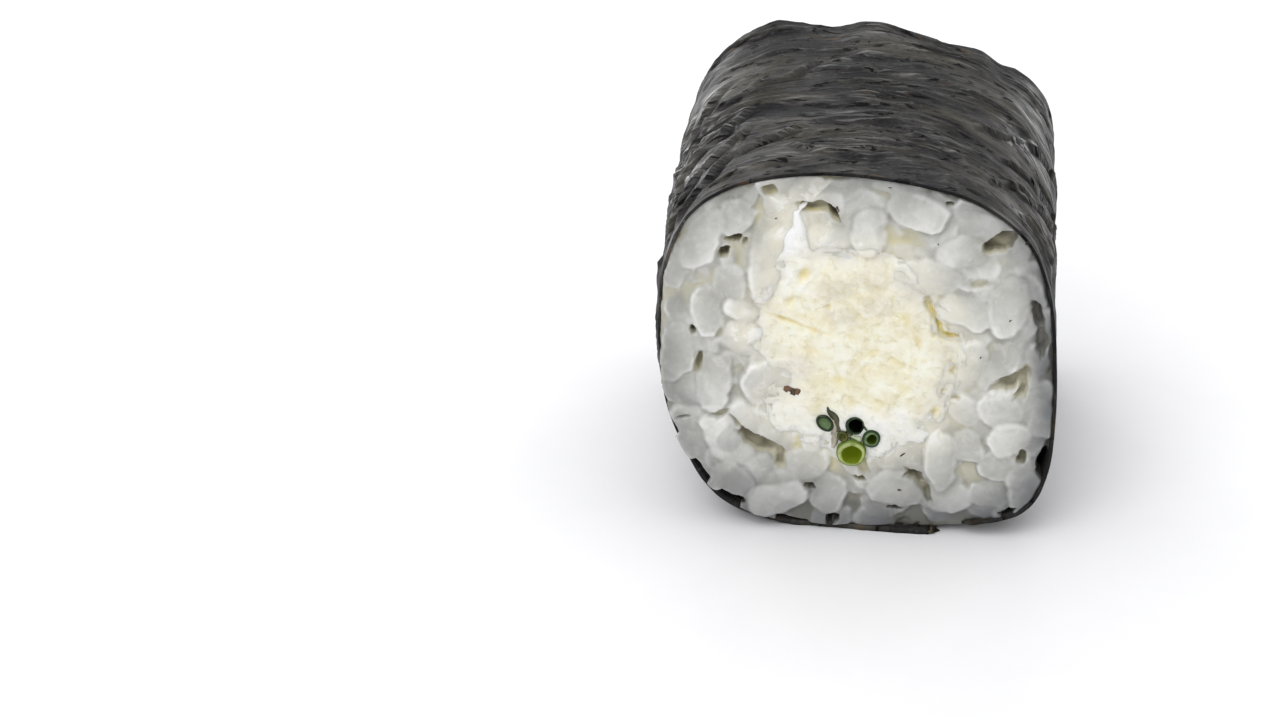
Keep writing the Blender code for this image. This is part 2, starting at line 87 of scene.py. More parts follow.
# Where the soft back edge of the sheet stands out or sinks in: angle round the roll, millimetres
BACK_EDGE = [
    (0, -0.2), (20, -0.3), (33, 0.1), (44, -0.3), (50, -0.7), (57, -0.4), (68, -0.8), (79, -0.6), (88, -0.15),
    (94, -0.3), (102, -0.9), (109, -0.4), (116, 0.1), (126, -0.1), (139, -0.5), (155, -0.4), (180, -0.1),
    (210, 0.0), (330, 0.0), (360, -0.2),
]
BACK_EDGE_REACH = 4.5 * MM      # and how far forward that carries
TAUT = (36, 148)                # degrees round the roll where it is pulled taut over the shoulders and shines: glossier, with a painted sheen in its colour
TAUT_WIDTH = 14
NORI_PAINTS = ("fibre_flow", "crest_sheen", "groove_shade_and_dark_cut", "worn", "taut_sheen")
PULLED = (285, 388)             # and it lies flat and a little inwards down the right side
PULLED_IN = 0.30 * MM
PULLED_FADE = 25                # degrees
CUT_BAND = 0.12 * MM            # the cut edge is dark for this far
CALM_BAND = (0.4 * MM, 2.0 * MM)    # and the knife pressed the creases down behind it, from here to here
EDGE_ONLY = 12                  # powers that keep the ragged cuts and the torn end to the very edges
END_ONLY = 40


def smooth_loop(points, count):
    """A closed smooth curve through the points (millimetres), as count points evenly spaced along it."""
    corners = np.array(points) * MM
    before, after, beyond = (np.roll(corners, shift, axis=0) for shift in (1, -1, -2))
    steps = np.linspace(0.0, 1.0, 24, endpoint=False)[:, None, None]
    dense = 0.5 * (
        2 * corners + (after - before) * steps
        + (2 * before - 5 * corners + 4 * after - beyond) * steps ** 2
        + (3 * corners - before - 3 * after + beyond) * steps ** 3)
    dense = dense.transpose(1, 0, 2).reshape(-1, 2)
    closed = np.vstack([dense, dense[:1]])
    travelled = np.concatenate([[0.0], np.cumsum(np.linalg.norm(np.diff(closed, axis=0), axis=1))])
    places = np.linspace(0.0, travelled[-1], count, endpoint=False)
    return np.column_stack([np.interp(places, travelled, closed[:, axis]) for axis in (0, 1)])


def outward(loop):
    """Unit normals of a closed loop, pointing out whichever way round it runs."""
    along = np.roll(loop, -1, axis=0) - np.roll(loop, 1, axis=0)
    normals = np.column_stack([along[:, 1], -along[:, 0]])
    normals /= np.linalg.norm(normals, axis=1)[:, None]
    following = np.roll(loop, -1, axis=0)
    area = np.sum(loop[:, 0] * following[:, 1] - following[:, 0] * loop[:, 1])
    return normals * math.copysign(1.0, area)


def roll_loop(count):
    """The single layer's outer face, pressed flat where the roll rests, and its normals."""
    loop = smooth_loop(NORI_OUTLINE, count)
    loop[:, 1] = np.maximum(loop[:, 1], SEAM_HEIGHT)
    return loop, outward(loop)


def smoothstep(value):
    value = np.clip(value, 0.0, 1.0)
    return value * value * (3 - 2 * value)


def wanders(places, size, octaves=1):
    """Smooth seeded unevenness between about -1 and 1 at many places; size is a wave's, along each axis."""
    scaled = np.asarray(places) / np.asarray(size)
    if octaves == 1:
        return np.array([noise.noise(Vector(place)) for place in scaled])
    return np.array([noise.fractal(Vector(place), 0.9, 2.1, octaves) for place in scaled])


def make_piece(name, places, faces):
    mesh = bpy.data.meshes.new(name)
    mesh.from_pydata(np.asarray(places).tolist(), [], faces)
    bm = bmesh.new()
    bm.from_mesh(mesh)
    bmesh.ops.recalc_face_normals(bm, faces=bm.faces)
    bm.to_mesh(mesh)
    bm.free()
    piece = bpy.data.objects.new(name, mesh)
    bpy.context.scene.collection.objects.link(piece)
    return piece


def dress_piece(piece, material, node=None, smooth=True):
    """Gives a piece its finish, and lets it ride on the roll in place of a solid."""
    piece.data.materials.clear()
    piece.data.materials.append(material)
    if smooth:
        piece.data.shade_smooth()
    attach(piece, "root")
    if node:
        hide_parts(node)
    return piece


def apply_modifiers(piece):
    evaluated = piece.evaluated_get(bpy.context.evaluated_depsgraph_get())
    changed = bpy.data.meshes.new_from_object(evaluated)
    piece.modifiers.clear()
    piece.data = changed


def points_of(piece):
    places = np.empty(len(piece.data.vertices) * 3, dtype=np.float32)
    piece.data.vertices.foreach_get("co", places)
    return places.reshape(-1, 3).astype(float)


def paint(piece, name, values):
    """Stores a value, or a vector of three, at each point of the mesh for the material to read."""
    values = np.asarray(values, dtype=np.float32)
    kind, field = ("FLOAT", "value") if values.ndim == 1 else ("FLOAT_VECTOR", "vector")
    layer = piece.data.attributes.new(name, kind, "POINT")
    layer.data.foreach_set(field, values.ravel())


class Value:
    """A number that varies over a surface: arithmetic on it adds Math nodes."""

    def __init__(self, finish, socket):
        self.finish = finish
        self.socket = socket

    def join(self, operation, first, second):
        return self.finish.node("Math", {"operation": operation}, {0: first, 1: second})

    def __add__(self, other):
        return self.join("ADD", self, other)

    def __sub__(self, other):
        return self.join("SUBTRACT", self, other)

    def __rsub__(self, other):
        return self.join("SUBTRACT", other, self)

    def __mul__(self, other):
        return self.join("MULTIPLY", self, other)

    __radd__ = __add__
    __rmul__ = __mul__

    def step(self, low, high):
        """0 below low, 1 above high, smooth between."""
        return self.finish.node("MapRange", {"interpolation_type": "SMOOTHSTEP"},
                                {"Value": self, "From Min": low, "From Max": high})


class Finish:
    """One material and its nodes. Constant settings of the shader are given when it is made."""

    def __init__(self, name, **settings):
        self.material = bpy.data.materials.new(name)
        self.material.use_nodes = True
        self.tree = self.material.node_tree
        self.shader = self.tree.nodes["Principled BSDF"]
        for socket, value in settings.items():
            self.shader.inputs[socket.replace("_", " ")].default_value = value

    def node(self, kind, settings, sockets, output=0):
        made = self.tree.nodes.new("ShaderNode" + kind)
        for name, value in settings.items():
            setattr(made, name, value)
        for name, value in sockets.items():
            if isinstance(value, Value):
                self.tree.links.new(value.socket, made.inputs[name])
            else:
                made.inputs[name].default_value = value
        return Value(self, made.outputs[output])

    def painted(self, name, output="Fac"):
        return self.node("Attribute", {"attribute_name": name}, {}, output)

    def place(self):
        return self.node("TexCoord", {}, {}, "Object")

    def stretched(self, vector, scale):
        return self.node("VectorMath", {"operation": "MULTIPLY"}, {0: vector, 1: scale}, "Vector")

    def noise(self, vector, scale, detail=3.0, roughness=0.55, distortion=0.0):
        """Uneven blotches: scale is one number, or three for blotches drawn out along an axis."""
        if isinstance(scale, tuple):
            vector, scale = self.stretched(vector, scale), 1.0
        return self.node("TexNoise", {}, {"Vector": vector, "Scale": scale, "Detail": detail,
                                          "Roughness": roughness, "Distortion": distortion})

    def mix(self, share, first, second):
        """Colours: first where share is 0, second where it is 1."""
        return self.node("Mix", {"data_type": "RGBA"}, {0: share, 6: first, 7: second}, 2)

    def coats(self, body, *layers):
        """Colours laid over each other, each given as its share and its screen values."""
        for share, tint in layers:
            body = self.mix(share, body, colour(*tint))
        return body

    def bump(self, height, distance, strength=1.0):
        return self.node("Bump", {}, {"Height": height, "Distance": distance, "Strength": strength})

    def feed(self, **sockets):
        for socket, value in sockets.items():
            self.tree.links.new(value.socket, self.shader.inputs[socket.replace("_", " ")])
        return self.material


def colour(red, green, blue):
    """Linear colour from the screen values of 0 to 255 that a photo shows."""
    def linear(value):
        value /= 255
        return value / 12.92 if value <= 0.04045 else ((value + 0.055) / 1.055) ** 2.4
    return (linear(red), linear(green), linear(blue), 1.0)


def nori_finish():
    finish = Finish("nori", Specular_IOR_Level=0.15, IOR=1.45, Coat_Roughness=0.40)
    sheet = finish.painted("fibre_flow", "Vector")         # metres along the sheet and across its bent fibres
    crest_sheen = finish.painted("crest_sheen")
    groove_shade_and_dark_cut = finish.painted("groove_shade_and_dark_cut")
    worn = finish.painted("worn")
    taut_sheen = finish.painted("taut_sheen")
    fibres = finish.noise(sheet, (230.0, 900.0, 0.0), 4.0, 0.56, 1.0)
    strands = finish.noise(sheet, (330.0, 4200.0, 0.0), 3.0, 0.58, 0.8)
    patches = finish.noise(sheet, (120.0, 300.0, 30.0), 5.0, 0.68, 1.0)
    tints = finish.noise(sheet, (95.0, 250.0, 40.0), 5.0, 0.65, 0.8)
    blotches = finish.noise(sheet, (330.0, 900.0, 80.0), 3.0, 0.6, 0.6)
    slits = finish.noise(sheet, (480.0, 1700.0, 9.0), 3.0, 0.6, 0.7)
    grain = finish.noise(sheet, (2300.0, 4800.0, 0.0), 4.0, 0.7)

    zones = finish.noise(sheet, (75.0, 170.0, 0.0), 4.0, 0.55, 0.6).step(0.42, 0.60)
    holes = slits.step(0.585, 0.64)
    tone = finish.coats(
        finish.mix(fibres.step(0.30, 0.70) * (0.40 + 0.45 * zones), colour(23, 23, 25), colour(64, 63, 61)),
        (zones * 0.50, (72, 71, 69)),
        (patches.step(0.48, 0.60) * 0.6, (50, 47, 34)),
        (tints.step(0.49, 0.58) * 0.8, (16, 15, 20)),
        ((1.0 - tints).step(0.54, 0.64) * 0.6, (84, 83, 80)),
        # painted sheen: pale streaks on the crests and the taut shoulders, and a few real pale fibres
        # elsewhere
        (strands.step(0.54, 0.68) * (0.05 * zones + 0.50 * crest_sheen + 0.60 * taut_sheen), (146, 144, 139)),
        (grain.step(0.50, 0.30) * 0.55, (8, 7, 9)),
        (grain.step(0.54, 0.70) * 0.45, (92, 91, 88)),
        (blotches.step(0.60, 0.68) * (0.12 + 0.88 * worn), (88, 68, 44)),
        # painted shade in the grooves and below the folds, and the sheet's own dark cut edge
        (groove_shade_and_dark_cut * 0.85, (10, 9, 9)),
        (holes, (5, 4, 4)))

    rough = 0.46 + 0.25 * grain
    pulled = 0.40 * crest_sheen + 0.90 * taut_sheen
    gloss = 0.03 + 0.08 * strands.step(0.44, 0.62) + pulled * strands.step(0.34, 0.58)
    gloss = gloss * (1.0 - holes) * (1.0 - groove_shade_and_dark_cut)
    height = fibres * (0.12 + 0.14 * zones) + strands * 0.07 + grain * 0.32 - holes * 0.8
    return finish.feed(Base_Color=tone, Roughness=rough, Coat_Weight=gloss,
                       Normal=finish.bump(height, 0.00030, 1.0))


def round_the_roll(places):
    """Angle round the roll of places given as X and Z, from +X towards +Z, in degrees."""
    return np.degrees(np.arctan2(places[:, 1] - WIDTH / 2, places[:, 0])) % 360


def back_edge_lift(angle):
    """How far the back edge stands out at an angle round the roll, softened over a few degrees."""
    angles, lifts = np.array(BACK_EDGE, dtype=float).T
    even = np.arange(0, 360, 1.0)
    soft = np.interp(even, angles, lifts)
    for _ in range(6):
        soft = (np.roll(soft, 1) + 2 * soft + np.roll(soft, -1)) / 4
    return np.interp(angle, even, soft, period=360) * MM


def nori_relief(places, travelled, y):
    """How far the sheet stands out, with its bent fibre direction, its crests, where a sheen is painted, and
    its grooves and fold hollows, where shade is painted.
    """
    flat = np.column_stack([travelled, y, np.zeros(len(y))])
    bend = wanders(flat, (12 * MM, 9 * MM, 1)) * 1.7 * MM + wanders(flat, (5 * MM, 4.5 * MM, 1)) * 0.6 * MM
    flow = flat + np.column_stack([np.zeros(len(y)), bend, np.zeros(len(y))])

    def along_fibres(creases, seed, octaves=1):
        length, width, _ = creases
        return wanders(flow + seed, (length * MM, width * MM, 1), octaves)

    rows = 1 - 2 * np.abs(along_fibres(CREASES, 0.0))
    small = 1 - 2 * np.abs(along_fibres(SMALL_CREASES, 0.05))
    fine = along_fibres(FINE_CREASES, 0.09, 2)
    patchy = 0.40 + 0.60 * smoothstep(0.5 + 1.4 * wanders(flat + 0.11, (9 * MM, 7 * MM, 1)))
    relief = DENTS[1] * MM * wanders(places, DENTS[0] * MM)
    relief += SMALL_DENTS[1] * MM * wanders(places, SMALL_DENTS[0] * MM, 2)
    relief += patchy * (CREASES[2] * MM * rows ** 3 + SMALL_CREASES[2] * MM * small
                        + FINE_CREASES[2] * MM * fine)

    angle = round_the_roll(places[:, [0, 2]])
    behind = (places[:, 1] + LENGTH / 2) / MM
    around = WIDTH / MM / 2 * math.pi / 180                # millimetres of sheet in one degree
    folds = np.zeros(len(y))
    for start_angle, start_y, end_angle, end_y, half_width, height in FOLDS:
        line = np.array(((end_angle - start_angle) * around, end_y - start_y))
        gone = np.column_stack([(angle - start_angle) * around, behind - start_y])
        share = (gone @ line) / (line @ line)
        off = (gone[:, 0] * line[1] - gone[:, 1] * line[0]) / np.linalg.norm(line)
        off = off + 0.5 * np.sin(share * 5 + start_angle) + 0.25 * np.sin(share * 13 + end_angle)
        ends = smoothstep((share + 0.15) * 4) * smoothstep((1.15 - share) * 4)
        folds += height * ends * (np.exp(-np.abs(off / half_width) ** 1.4)
                                  - 0.7 * np.exp(-((off + 1.6 * half_width) / half_width) ** 2))
    relief += folds * MM
    # Painted light: crests and fold tops get a painted sheen, and troughs and the low side of each fold get
    # painted shade
    crest_sheen = 0.7 * smoothstep((rows - 0.50) / 0.4) * patchy + 0.15 * smoothstep((small - 0.5) / 0.4)
    crest_sheen += folds * 2.0
    groove_shade_and_dark_cut = smoothstep((-rows - 0.05) / 0.5) * patchy * 0.7 - folds * 4
    return relief, flow, np.clip(crest_sheen, 0, 1), np.clip(groove_shade_and_dark_cut, 0, 1)


def nori_sheet():
    base, normals = roll_loop(ROLL_POINTS)
    girth = float(np.sum(np.linalg.norm(np.roll(base, -1, axis=0) - base, axis=1)))

    def ragged_edge(travelled, side):
        """How far the cut edge strays from a straight cut, at each distance along the sheet."""
        spots = np.column_stack([travelled, np.full(len(travelled), side * 1.0), np.zeros(len(travelled))])
        stray = 0.10 * MM * wanders(spots, (5.5 * MM, 1, 1), 3)
        stray += 0.05 * MM * wanders(spots, (0.9 * MM, 1, 1), 2)
        if side > 0:
            stray = stray * 2.2
        else:
            stray -= START_RECESS * smoothstep((START_STRETCH - travelled) / (2 * MM))
            angle = round_the_roll(base[np.round(travelled / girth * len(base)).astype(int) % len(base)])
            stray -= (LEFT_RECESS * smoothstep((angle - LEFT_SIDE[0]) / LEFT_FADE[0])
                      * smoothstep((LEFT_SIDE[1] - angle) / LEFT_FADE[1]))
        return stray

    def grid(rows, inner):
        share, across = np.meshgrid(np.arange(SHEET_COLUMNS + 1) / SHEET_COLUMNS,
                                    np.arange(rows + 1) / rows * 2 - 1, indexing="ij")
        share, across = share.ravel(), across.ravel()
        travelled = share * (girth + LAP_LENGTH)
        front, back = ragged_edge(travelled, -1), ragged_edge(travelled, 1)
        y = across * LENGTH / 2 + np.where(across < 0, -front, back) * np.abs(across) ** EDGE_ONLY
        torn = wanders(np.column_stack([y, y * 0, y * 0]), 2.4 * MM, 3) * TORN_END
        travelled = travelled + torn * share ** END_ONLY
        index = np.round(travelled / girth * len(base)).astype(int) % len(base)
        place, normal = base[index], normals[index]
        lapping = smoothstep((travelled - girth + LIFT_LENGTH) / LIFT_LENGTH)
        free = smoothstep((place[:, 1] - SEAM_HEIGHT) / PRESSED_HEIGHT)
        spots = np.column_stack([place[:, 0], y, place[:, 1]])
        relief, flow, crest_sheen, groove_shade_and_dark_cut = nori_relief(spots, travelled, y)

        from_front = np.clip(y + LENGTH / 2, 0, None)
        from_back = np.clip(LENGTH / 2 - y, 0, None)
        from_cut = np.minimum(from_front, from_back)
        calm = 0.25 + 0.75 * smoothstep((from_front - CALM_BAND[0]) / (CALM_BAND[1] - CALM_BAND[0]))
        angle = round_the_roll(spots[:, [0, 2]])
        flare = back_edge_lift(angle) * np.exp(-np.square(from_back / BACK_EDGE_REACH))
        onward = np.where(angle < 90, angle + 360, angle)
        pulled = smoothstep((onward - PULLED[0]) / PULLED_FADE)
        pulled *= smoothstep((PULLED[1] - onward) / PULLED_FADE)
        push = (relief * calm * (1 - 0.65 * pulled) + flare) * free + lapping * SEAM_HEIGHT
        push -= PULLED_IN * pulled * smoothstep((from_cut - 0.5 * MM) / (3 * MM))
        outer = np.column_stack([place[:, 0] + normal[:, 0] * push, y, place[:, 1] + normal[:, 1] * push])
        outer[:, 2] = np.maximum(outer[:, 2], 0.0)
        worn = smoothstep(1 - from_back / (6 * MM)) + 0.6 * smoothstep(1 - from_front / (1.2 * MM))
        taut_sheen = sum(np.exp(-np.square((angle - middle) / TAUT_WIDTH)) for middle in TAUT)
        taut_sheen *= smoothstep(0.5 + 1.5 * wanders(flow + 0.21, (9 * MM, 1.8 * MM, 1), 2))
        if inner:
            thick = NORI_THICK + SEAM_FILL * lapping
            outer[:, 0] -= normal[:, 0] * thick
            outer[:, 2] -= normal[:, 1] * thick
        # painted shade in the grooves, calmer near the cut, and the sheet's own dark cut edge
        groove_shade_and_dark_cut = np.maximum(groove_shade_and_dark_cut * calm, 0.6 * smoothstep(1.4 - from_cut / CUT_BAND))
        return outer, flow, crest_sheen * calm, groove_shade_and_dark_cut, np.clip(worn, 0, 1), taut_sheen

    outer, inner = grid(SHEET_ROWS, False), grid(INNER_ROWS, True)
    start = len(outer[0])
    faces = []
    for rows, first in ((SHEET_ROWS, 0), (INNER_ROWS, start)):
        for i in range(SHEET_COLUMNS):
            for j in range(rows):
                a = first + i * (rows + 1) + j
                b = a + rows + 1
                faces.append((a, a + 1, b + 1, b))
    for i in range(SHEET_COLUMNS):
        for j_outer, j_inner in ((0, 0), (SHEET_ROWS, INNER_ROWS)):
            a = i * (SHEET_ROWS + 1) + j_outer
            c = start + i * (INNER_ROWS + 1) + j_inner
            faces.append((a, a + SHEET_ROWS + 1, c + INNER_ROWS + 1, c))
    for i in (0, SHEET_COLUMNS):
        end = [i * (SHEET_ROWS + 1) + j for j in range(SHEET_ROWS + 1)]
        end += [start + i * (INNER_ROWS + 1) + j for j in range(INNER_ROWS, -1, -1)]
        faces.append(tuple(end))
    sheet = make_piece("nori_sheet", np.vstack([outer[0], inner[0]]), faces)
    dress_piece(sheet, nori_finish(), "nori")
    for name, outside, inside in zip(NORI_PAINTS, outer[1:], inner[1:]):
        paint(sheet, name, np.concatenate([outside, inside]))


nori_sheet()


# ==================== rice
# Short grain rice, boiled until it sticks and pressed into one mass. The knife has cut the grains that
# show: most are sliced flat, a few stand out whole, and small dark pits are left between them.

RICE_RIM = 0.12 * MM            # rice presses this close to the sheet's outer face
# and swells out over the sheet's edge at the left: angle round the roll, millimetres
OVERHANG = [(0, 0.0), (130, 0.0), (160, 0.14), (190, 0.20), (206, 0.42), (245, 0.42),
            (262, 0.32), (300, 0.32), (315, 0.0), (360, 0.0)]
STEPPED = 0.55 * MM             # whole grains at the lower left break its outline, by this much
STEPPED_FROM = (190, 262)       # degrees round the roll
STEPPED_FADE = 15
# Grains that can be told apart on the front cut: middle, half length, half width, lean from +X in
# degrees, and how far the cut face stands proud of the nori's edge
FRONT_GRAINS = [
    (-9.1, 26.0, 1.6, 1.25, 60, 0.26), (-11.6, 24.0, 2.6, 1.35, 68, 0.10),
    (-13.2, 22.4, 2.1, 0.95, 80, -0.15), (-12.4, 20.8, 1.3, 0.8, 5, -0.22),
    (-13.3, 18.9, 1.8, 1.05, 75, -0.26), (-11.2, 18.2, 2.0, 1.15, 95, 0.12),
    (-9.7, 20.4, 1.7, 1.25, 100, -0.05), (-8.7, 18.2, 1.3, 0.8, 150, 0.38),
    (-8.6, 16.1, 1.6, 1.3, 150, 0.28), (-6.9, 22.6, 3.7, 1.3, 84, 0.12),
    (-6.2, 27.1, 1.2, 0.95, 60, 0.00), (-4.5, 28.8, 1.7, 0.75, 10, -0.20),
    (-2.0, 28.4, 2.1, 1.0, 8, -0.08), (-3.2, 26.2, 1.1, 0.9, 60, -0.50),
    (-2.4, 24.5, 1.8, 1.15, 8, 0.25), (0.6, 25.1, 1.85, 1.5, 100, 0.38),
    (-10.5, 27.2, 1.3, 0.6, 40, -0.20), (-7.8, 28.0, 1.4, 0.6, 15, -0.60),
    (-13.3, 15.1, 2.2, 1.25, 92, 0.05), (-11.0, 15.6, 1.2, 1.1, 90, -0.15),
    (-10.7, 12.3, 2.35, 1.25, 88, 0.30), (-12.7, 11.0, 1.6, 0.95, 95, -0.15),
    (-12.2, 9.3, 1.1, 0.6, 5, -0.30), (-12.3, 7.2, 2.4, 1.15, 128, -0.05),
    (-9.9, 7.6, 2.55, 1.30, 115, 0.32), (-8.4, 6.6, 1.6, 0.9, 110, 0.10),
    (-7.8, 9.1, 2.4, 1.25, 142, 0.00), (-4.2, 8.0, 1.5, 1.05, 85, -0.34),
    (-4.0, 5.6, 2.2, 1.5, 20, -0.04), (-7.1, 4.8, 1.5, 1.2, 80, 0.00),
    (-9.1, 4.0, 1.85, 1.3, 160, 0.10), (-5.9, 2.6, 2.5, 1.3, 15, 0.18),
    (-7.0, 1.4, 1.6, 0.5, 165, -0.30), (-3.5, 1.3, 1.9, 1.0, 5, -0.55),
    (-1.9, 3.1, 1.75, 1.35, 70, -0.02), (0.3, 1.9, 1.5, 1.2, 60, -0.50),
    (-2.5, 7.0, 1.2, 0.8, 100, -0.50), (-6.4, 12.7, 2.3, 1.9, 20, 0.16),
    (3.4, 6.8, 2.0, 1.55, 35, -0.24), (3.0, 3.8, 2.0, 1.45, 170, 0.28),
    (6.3, 6.2, 2.3, 1.15, 95, 0.15), (8.2, 7.6, 1.5, 1.2, 100, 0.08),
    (8.1, 5.4, 1.1, 0.8, 90, -0.40), (10.5, 6.1, 1.6, 1.25, 170, 0.02),
    (11.4, 8.4, 1.7, 1.3, 25, 0.15), (10.6, 10.8, 1.7, 1.45, 120, 0.12),
    (8.0, 10.6, 1.6, 1.35, 150, 0.00), (13.4, 8.9, 2.3, 0.95, 85, -0.20),
    (12.7, 4.1, 2.1, 1.4, 95, -0.05), (7.1, 3.1, 1.75, 1.15, 5, 0.00),
    (10.1, 3.6, 1.5, 1.15, 10, -0.08), (9.2, 1.9, 1.6, 0.75, 8, -0.25),
    (6.9, 1.5, 1.4, 0.75, 0, -0.40), (4.7, 1.6, 1.5, 0.9, 150, -0.50),
    (2.6, 1.4, 1.4, 0.8, 20, -0.50), (13.1, 13.3, 2.3, 1.0, 88, -0.30),
    (10.6, 15.3, 2.2, 1.35, 80, -0.14), (8.3, 14.4, 2.35, 1.2, 88, 0.02),
    (0.4, 4.0, 1.2, 0.85, 20, -0.15), (1.0, 5.6, 0.9, 0.6, 80, -0.45),
    (4.0, 26.8, 2.4, 1.45, 160, 0.46), (7.8, 26.0, 2.5, 1.4, 165, -0.12),
    (2.6, 28.6, 2.0, 0.6, 175, -0.15), (5.6, 28.0, 1.2, 0.5, 160, -0.20),
    (7.1, 23.6, 1.9, 1.3, 10, 0.24), (4.9, 21.6, 2.6, 1.45, 170, 0.36),
    (10.2, 23.6, 1.5, 1.1, 45, -0.30), (11.7, 22.6, 0.65, 0.5, 60, 0.00),
    (12.9, 21.4, 1.7, 0.8, 100, -0.30), (10.9, 19.4, 2.7, 1.35, 82, 0.16),
    (7.9, 18.9, 2.0, 1.35, 165, 0.05), (12.3, 16.6, 1.4, 0.7, 90, -0.15),
    (3.7, 24.2, 1.6, 0.8, 0, -0.45),
]
# Places where the front layer of grains is missing and the next one shows: middle, half length, half width,
# lean from +X in degrees, and how deep; the deepest are painted near black, as shade and, at the rim, as the
# nori behind
FRONT_HOLLOWS = [
    (-8.9, 22.9, 1.9, 0.75, 102, 0.42), (-9.3, 24.3, 0.50, 0.32, 20, 1.25),
    (-9.9, 23.1, 0.50, 0.28, 55, 1.20), (-7.6, 26.6, 1.4, 0.50, 80, 0.48),
    (-6.5, 28.3, 0.65, 0.50, 80, 0.80), (-8.6, 23.9, 0.45, 0.3, 90, 0.8),
    (-3.2, 27.0, 1.8, 0.60, 172, 1.0), (-1.8, 26.6, 0.60, 0.28, 115, 1.6),
    (-4.3, 26.9, 0.30, 0.18, 90, 1.4), (-12.2, 16.6, 0.35, 0.22, 110, 2.0),
    (-11.6, 20.9, 0.75, 0.5, 60, 0.38), (-10.3, 16.4, 0.6, 0.30, 80, 0.32),
    (-11.8, 14.1, 0.95, 0.42, 70, 0.95), (-9.0, 13.6, 1.1, 0.60, 110, 0.34),
    (-10.4, 9.85, 0.90, 0.34, 12, 0.50), (-8.9, 9.0, 1.3, 0.24, 135, 0.50),
    (-7.4, 7.4, 1.4, 0.60, 148, 1.05), (-5.9, 6.2, 1.3, 0.55, 118, 0.95),
    (-3.4, 3.75, 0.42, 0.24, 15, 1.1), (-9.3, 2.3, 0.80, 0.35, 170, 2.6),
    (-1.5, 0.95, 0.65, 0.42, 60, 2.9), (-2.2, 7.9, 1.2, 0.62, 80, 0.42), (0.6, 5.8, 1.2, 0.55, 110, 0.48),
    (0.4, 4.75, 0.50, 0.16, 160, 1.2), (4.2, 4.9, 0.8, 0.22, 10, 1.0), (4.9, 4.1, 1.8, 0.50, 122, 0.95),
    (4.6, 4.8, 0.8, 0.35, 130, 1.3), (2.8, 2.2, 0.50, 0.16, 5, 1.1), (8.0, 5.4, 0.90, 0.52, 120, 0.36),
    (12.4, 6.8, 0.60, 0.36, 110, 1.1), (14.15, 6.1, 1.3, 0.42, 86, 2.9),
    (11.2, 13.1, 1.7, 0.68, 35, 0.97), (11.4, 2.2, 0.70, 0.28, 20, 2.0),
    (3.4, 24.6, 2.4, 0.85, 158, 0.44), (2.2, 23.3, 1.4, 0.42, 100, 0.40),
    (10.1, 24.7, 1.5, 0.60, 40, 1.2), (8.7, 21.3, 1.1, 0.55, 8, 0.36), (12.8, 18.7, 1.3, 0.50, 112, 1.0),
    (6.4, 27.7, 0.25, 0.14, 0, 1.6), (8.2, 16.7, 0.55, 0.36, 60, 0.36), (13.3, 16.6, 1.3, 0.55, 95, 0.65),
    (7.2, 11.9, 0.5, 0.30, 40, 0.36), (9.4, 8.0, 0.35, 0.20, 90, 0.45), (-13.0, 9.2, 0.7, 0.22, 15, 0.5),
    (12.1, 13.0, 1.6, 0.40, 86, 0.97), (5.3, 18.9, 1.0, 0.30, 112, 0.62),
    (5.95, 17.5, 0.9, 0.34, 116, 0.66), (6.6, 16.8, 0.8, 0.32, 160, 0.60),
    (6.9, 14.0, 0.65, 0.36, 85, 0.45), (6.2, 12.4, 0.42, 0.26, 70, 0.40),
    (5.6, 10.4, 0.48, 0.32, 60, 0.40), (-8.3, 8.35, 0.2, 0.14, 60, 1.4),
]
CHEESE_OUTLINE = [
    (-4.7, 26.6), (-5.3, 24.6), (-5.7, 21.5), (-6.8, 18.6), (-6.9, 15.8), (-4.6, 13.0), (-5.9, 10.6),
    (-5.0, 9.0), (-2.6, 8.1), (0.4, 7.2), (2.6, 8.0), (4.8, 9.0), (6.1, 11.5), (6.9, 14.6),
    (6.5, 17.2), (4.6, 19.4), (2.4, 22.4), (-1.0, 22.9), (-3.7, 23.2), (-4.1, 25.2),
]
FRONT_CELL = 0.09 * MM
BACK_CELL = 0.13 * MM
PACKED_FACE = -0.75 * MM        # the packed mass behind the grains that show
STICKY = 0.15 * MM              # starch fills the corner where one grain meets another
GROOVE = 0.13 * MM              # and leaves only this deep a groove between them
CUT_CROWN = 0.20 * MM           # a sliced grain swells this much in its middle
WHOLE_CROWN = 0.42 * MM         # and one that the knife only pushed aside by this much
WHOLE_FROM = 0.18 * MM          # those are the ones that stand this proud
CAST = 0.50                     # painted shadow: how much darker a grain makes the one behind it, round its outline, for each millimetre
HOLLOW_SLOPE = 0.75             # a shallow hollow slopes down over this share of its size
PIT_SLOPE = 0.30                # and a deep one over this much
PIT_DEPTH = 1.0                 # millimetres
SHALLOW = 0.50                  # less deep than this, it is a dip in soft starch
HOLLOW_STEP = 0.30 * MM
RIM_ROUND = 0.35 * MM
END_DEPTH = 3.4 * MM            # how deep each end goes before the plain middle takes over
END_TAPER = 1.3 * MM            # and how far inside the nori it ends there
UNDER_CHEESE = 1.2 * MM         # rice goes on this far behind the cheese's edge
RIM_POINTS = 720                # round the rice, and round the cheese
CORE_POINTS = 120               # round the hidden middle
# Layers of filling grains: spacing, half length, half width, how far proud, and room kept to a placed grain
FRONT_LAYERS = [
    (1.8, (1.2, 2.2), (0.95, 1.35), (-0.28, 0.00), 0.75),
    (1.6, (1.0, 1.8), (0.80, 1.15), (-0.62, -0.36), 0.0),
]
BACK_LAYERS = [
    (2.4, (1.6, 2.5), (1.10, 1.45), (-0.10, 0.26), 0.0),
    (1.8, (1.2, 2.2), (0.95, 1.35), (-0.32, -0.04), 0.0),
    (1.6, (1.0, 1.8), (0.80, 1.15), (-0.70, -0.40), 0.0),
]
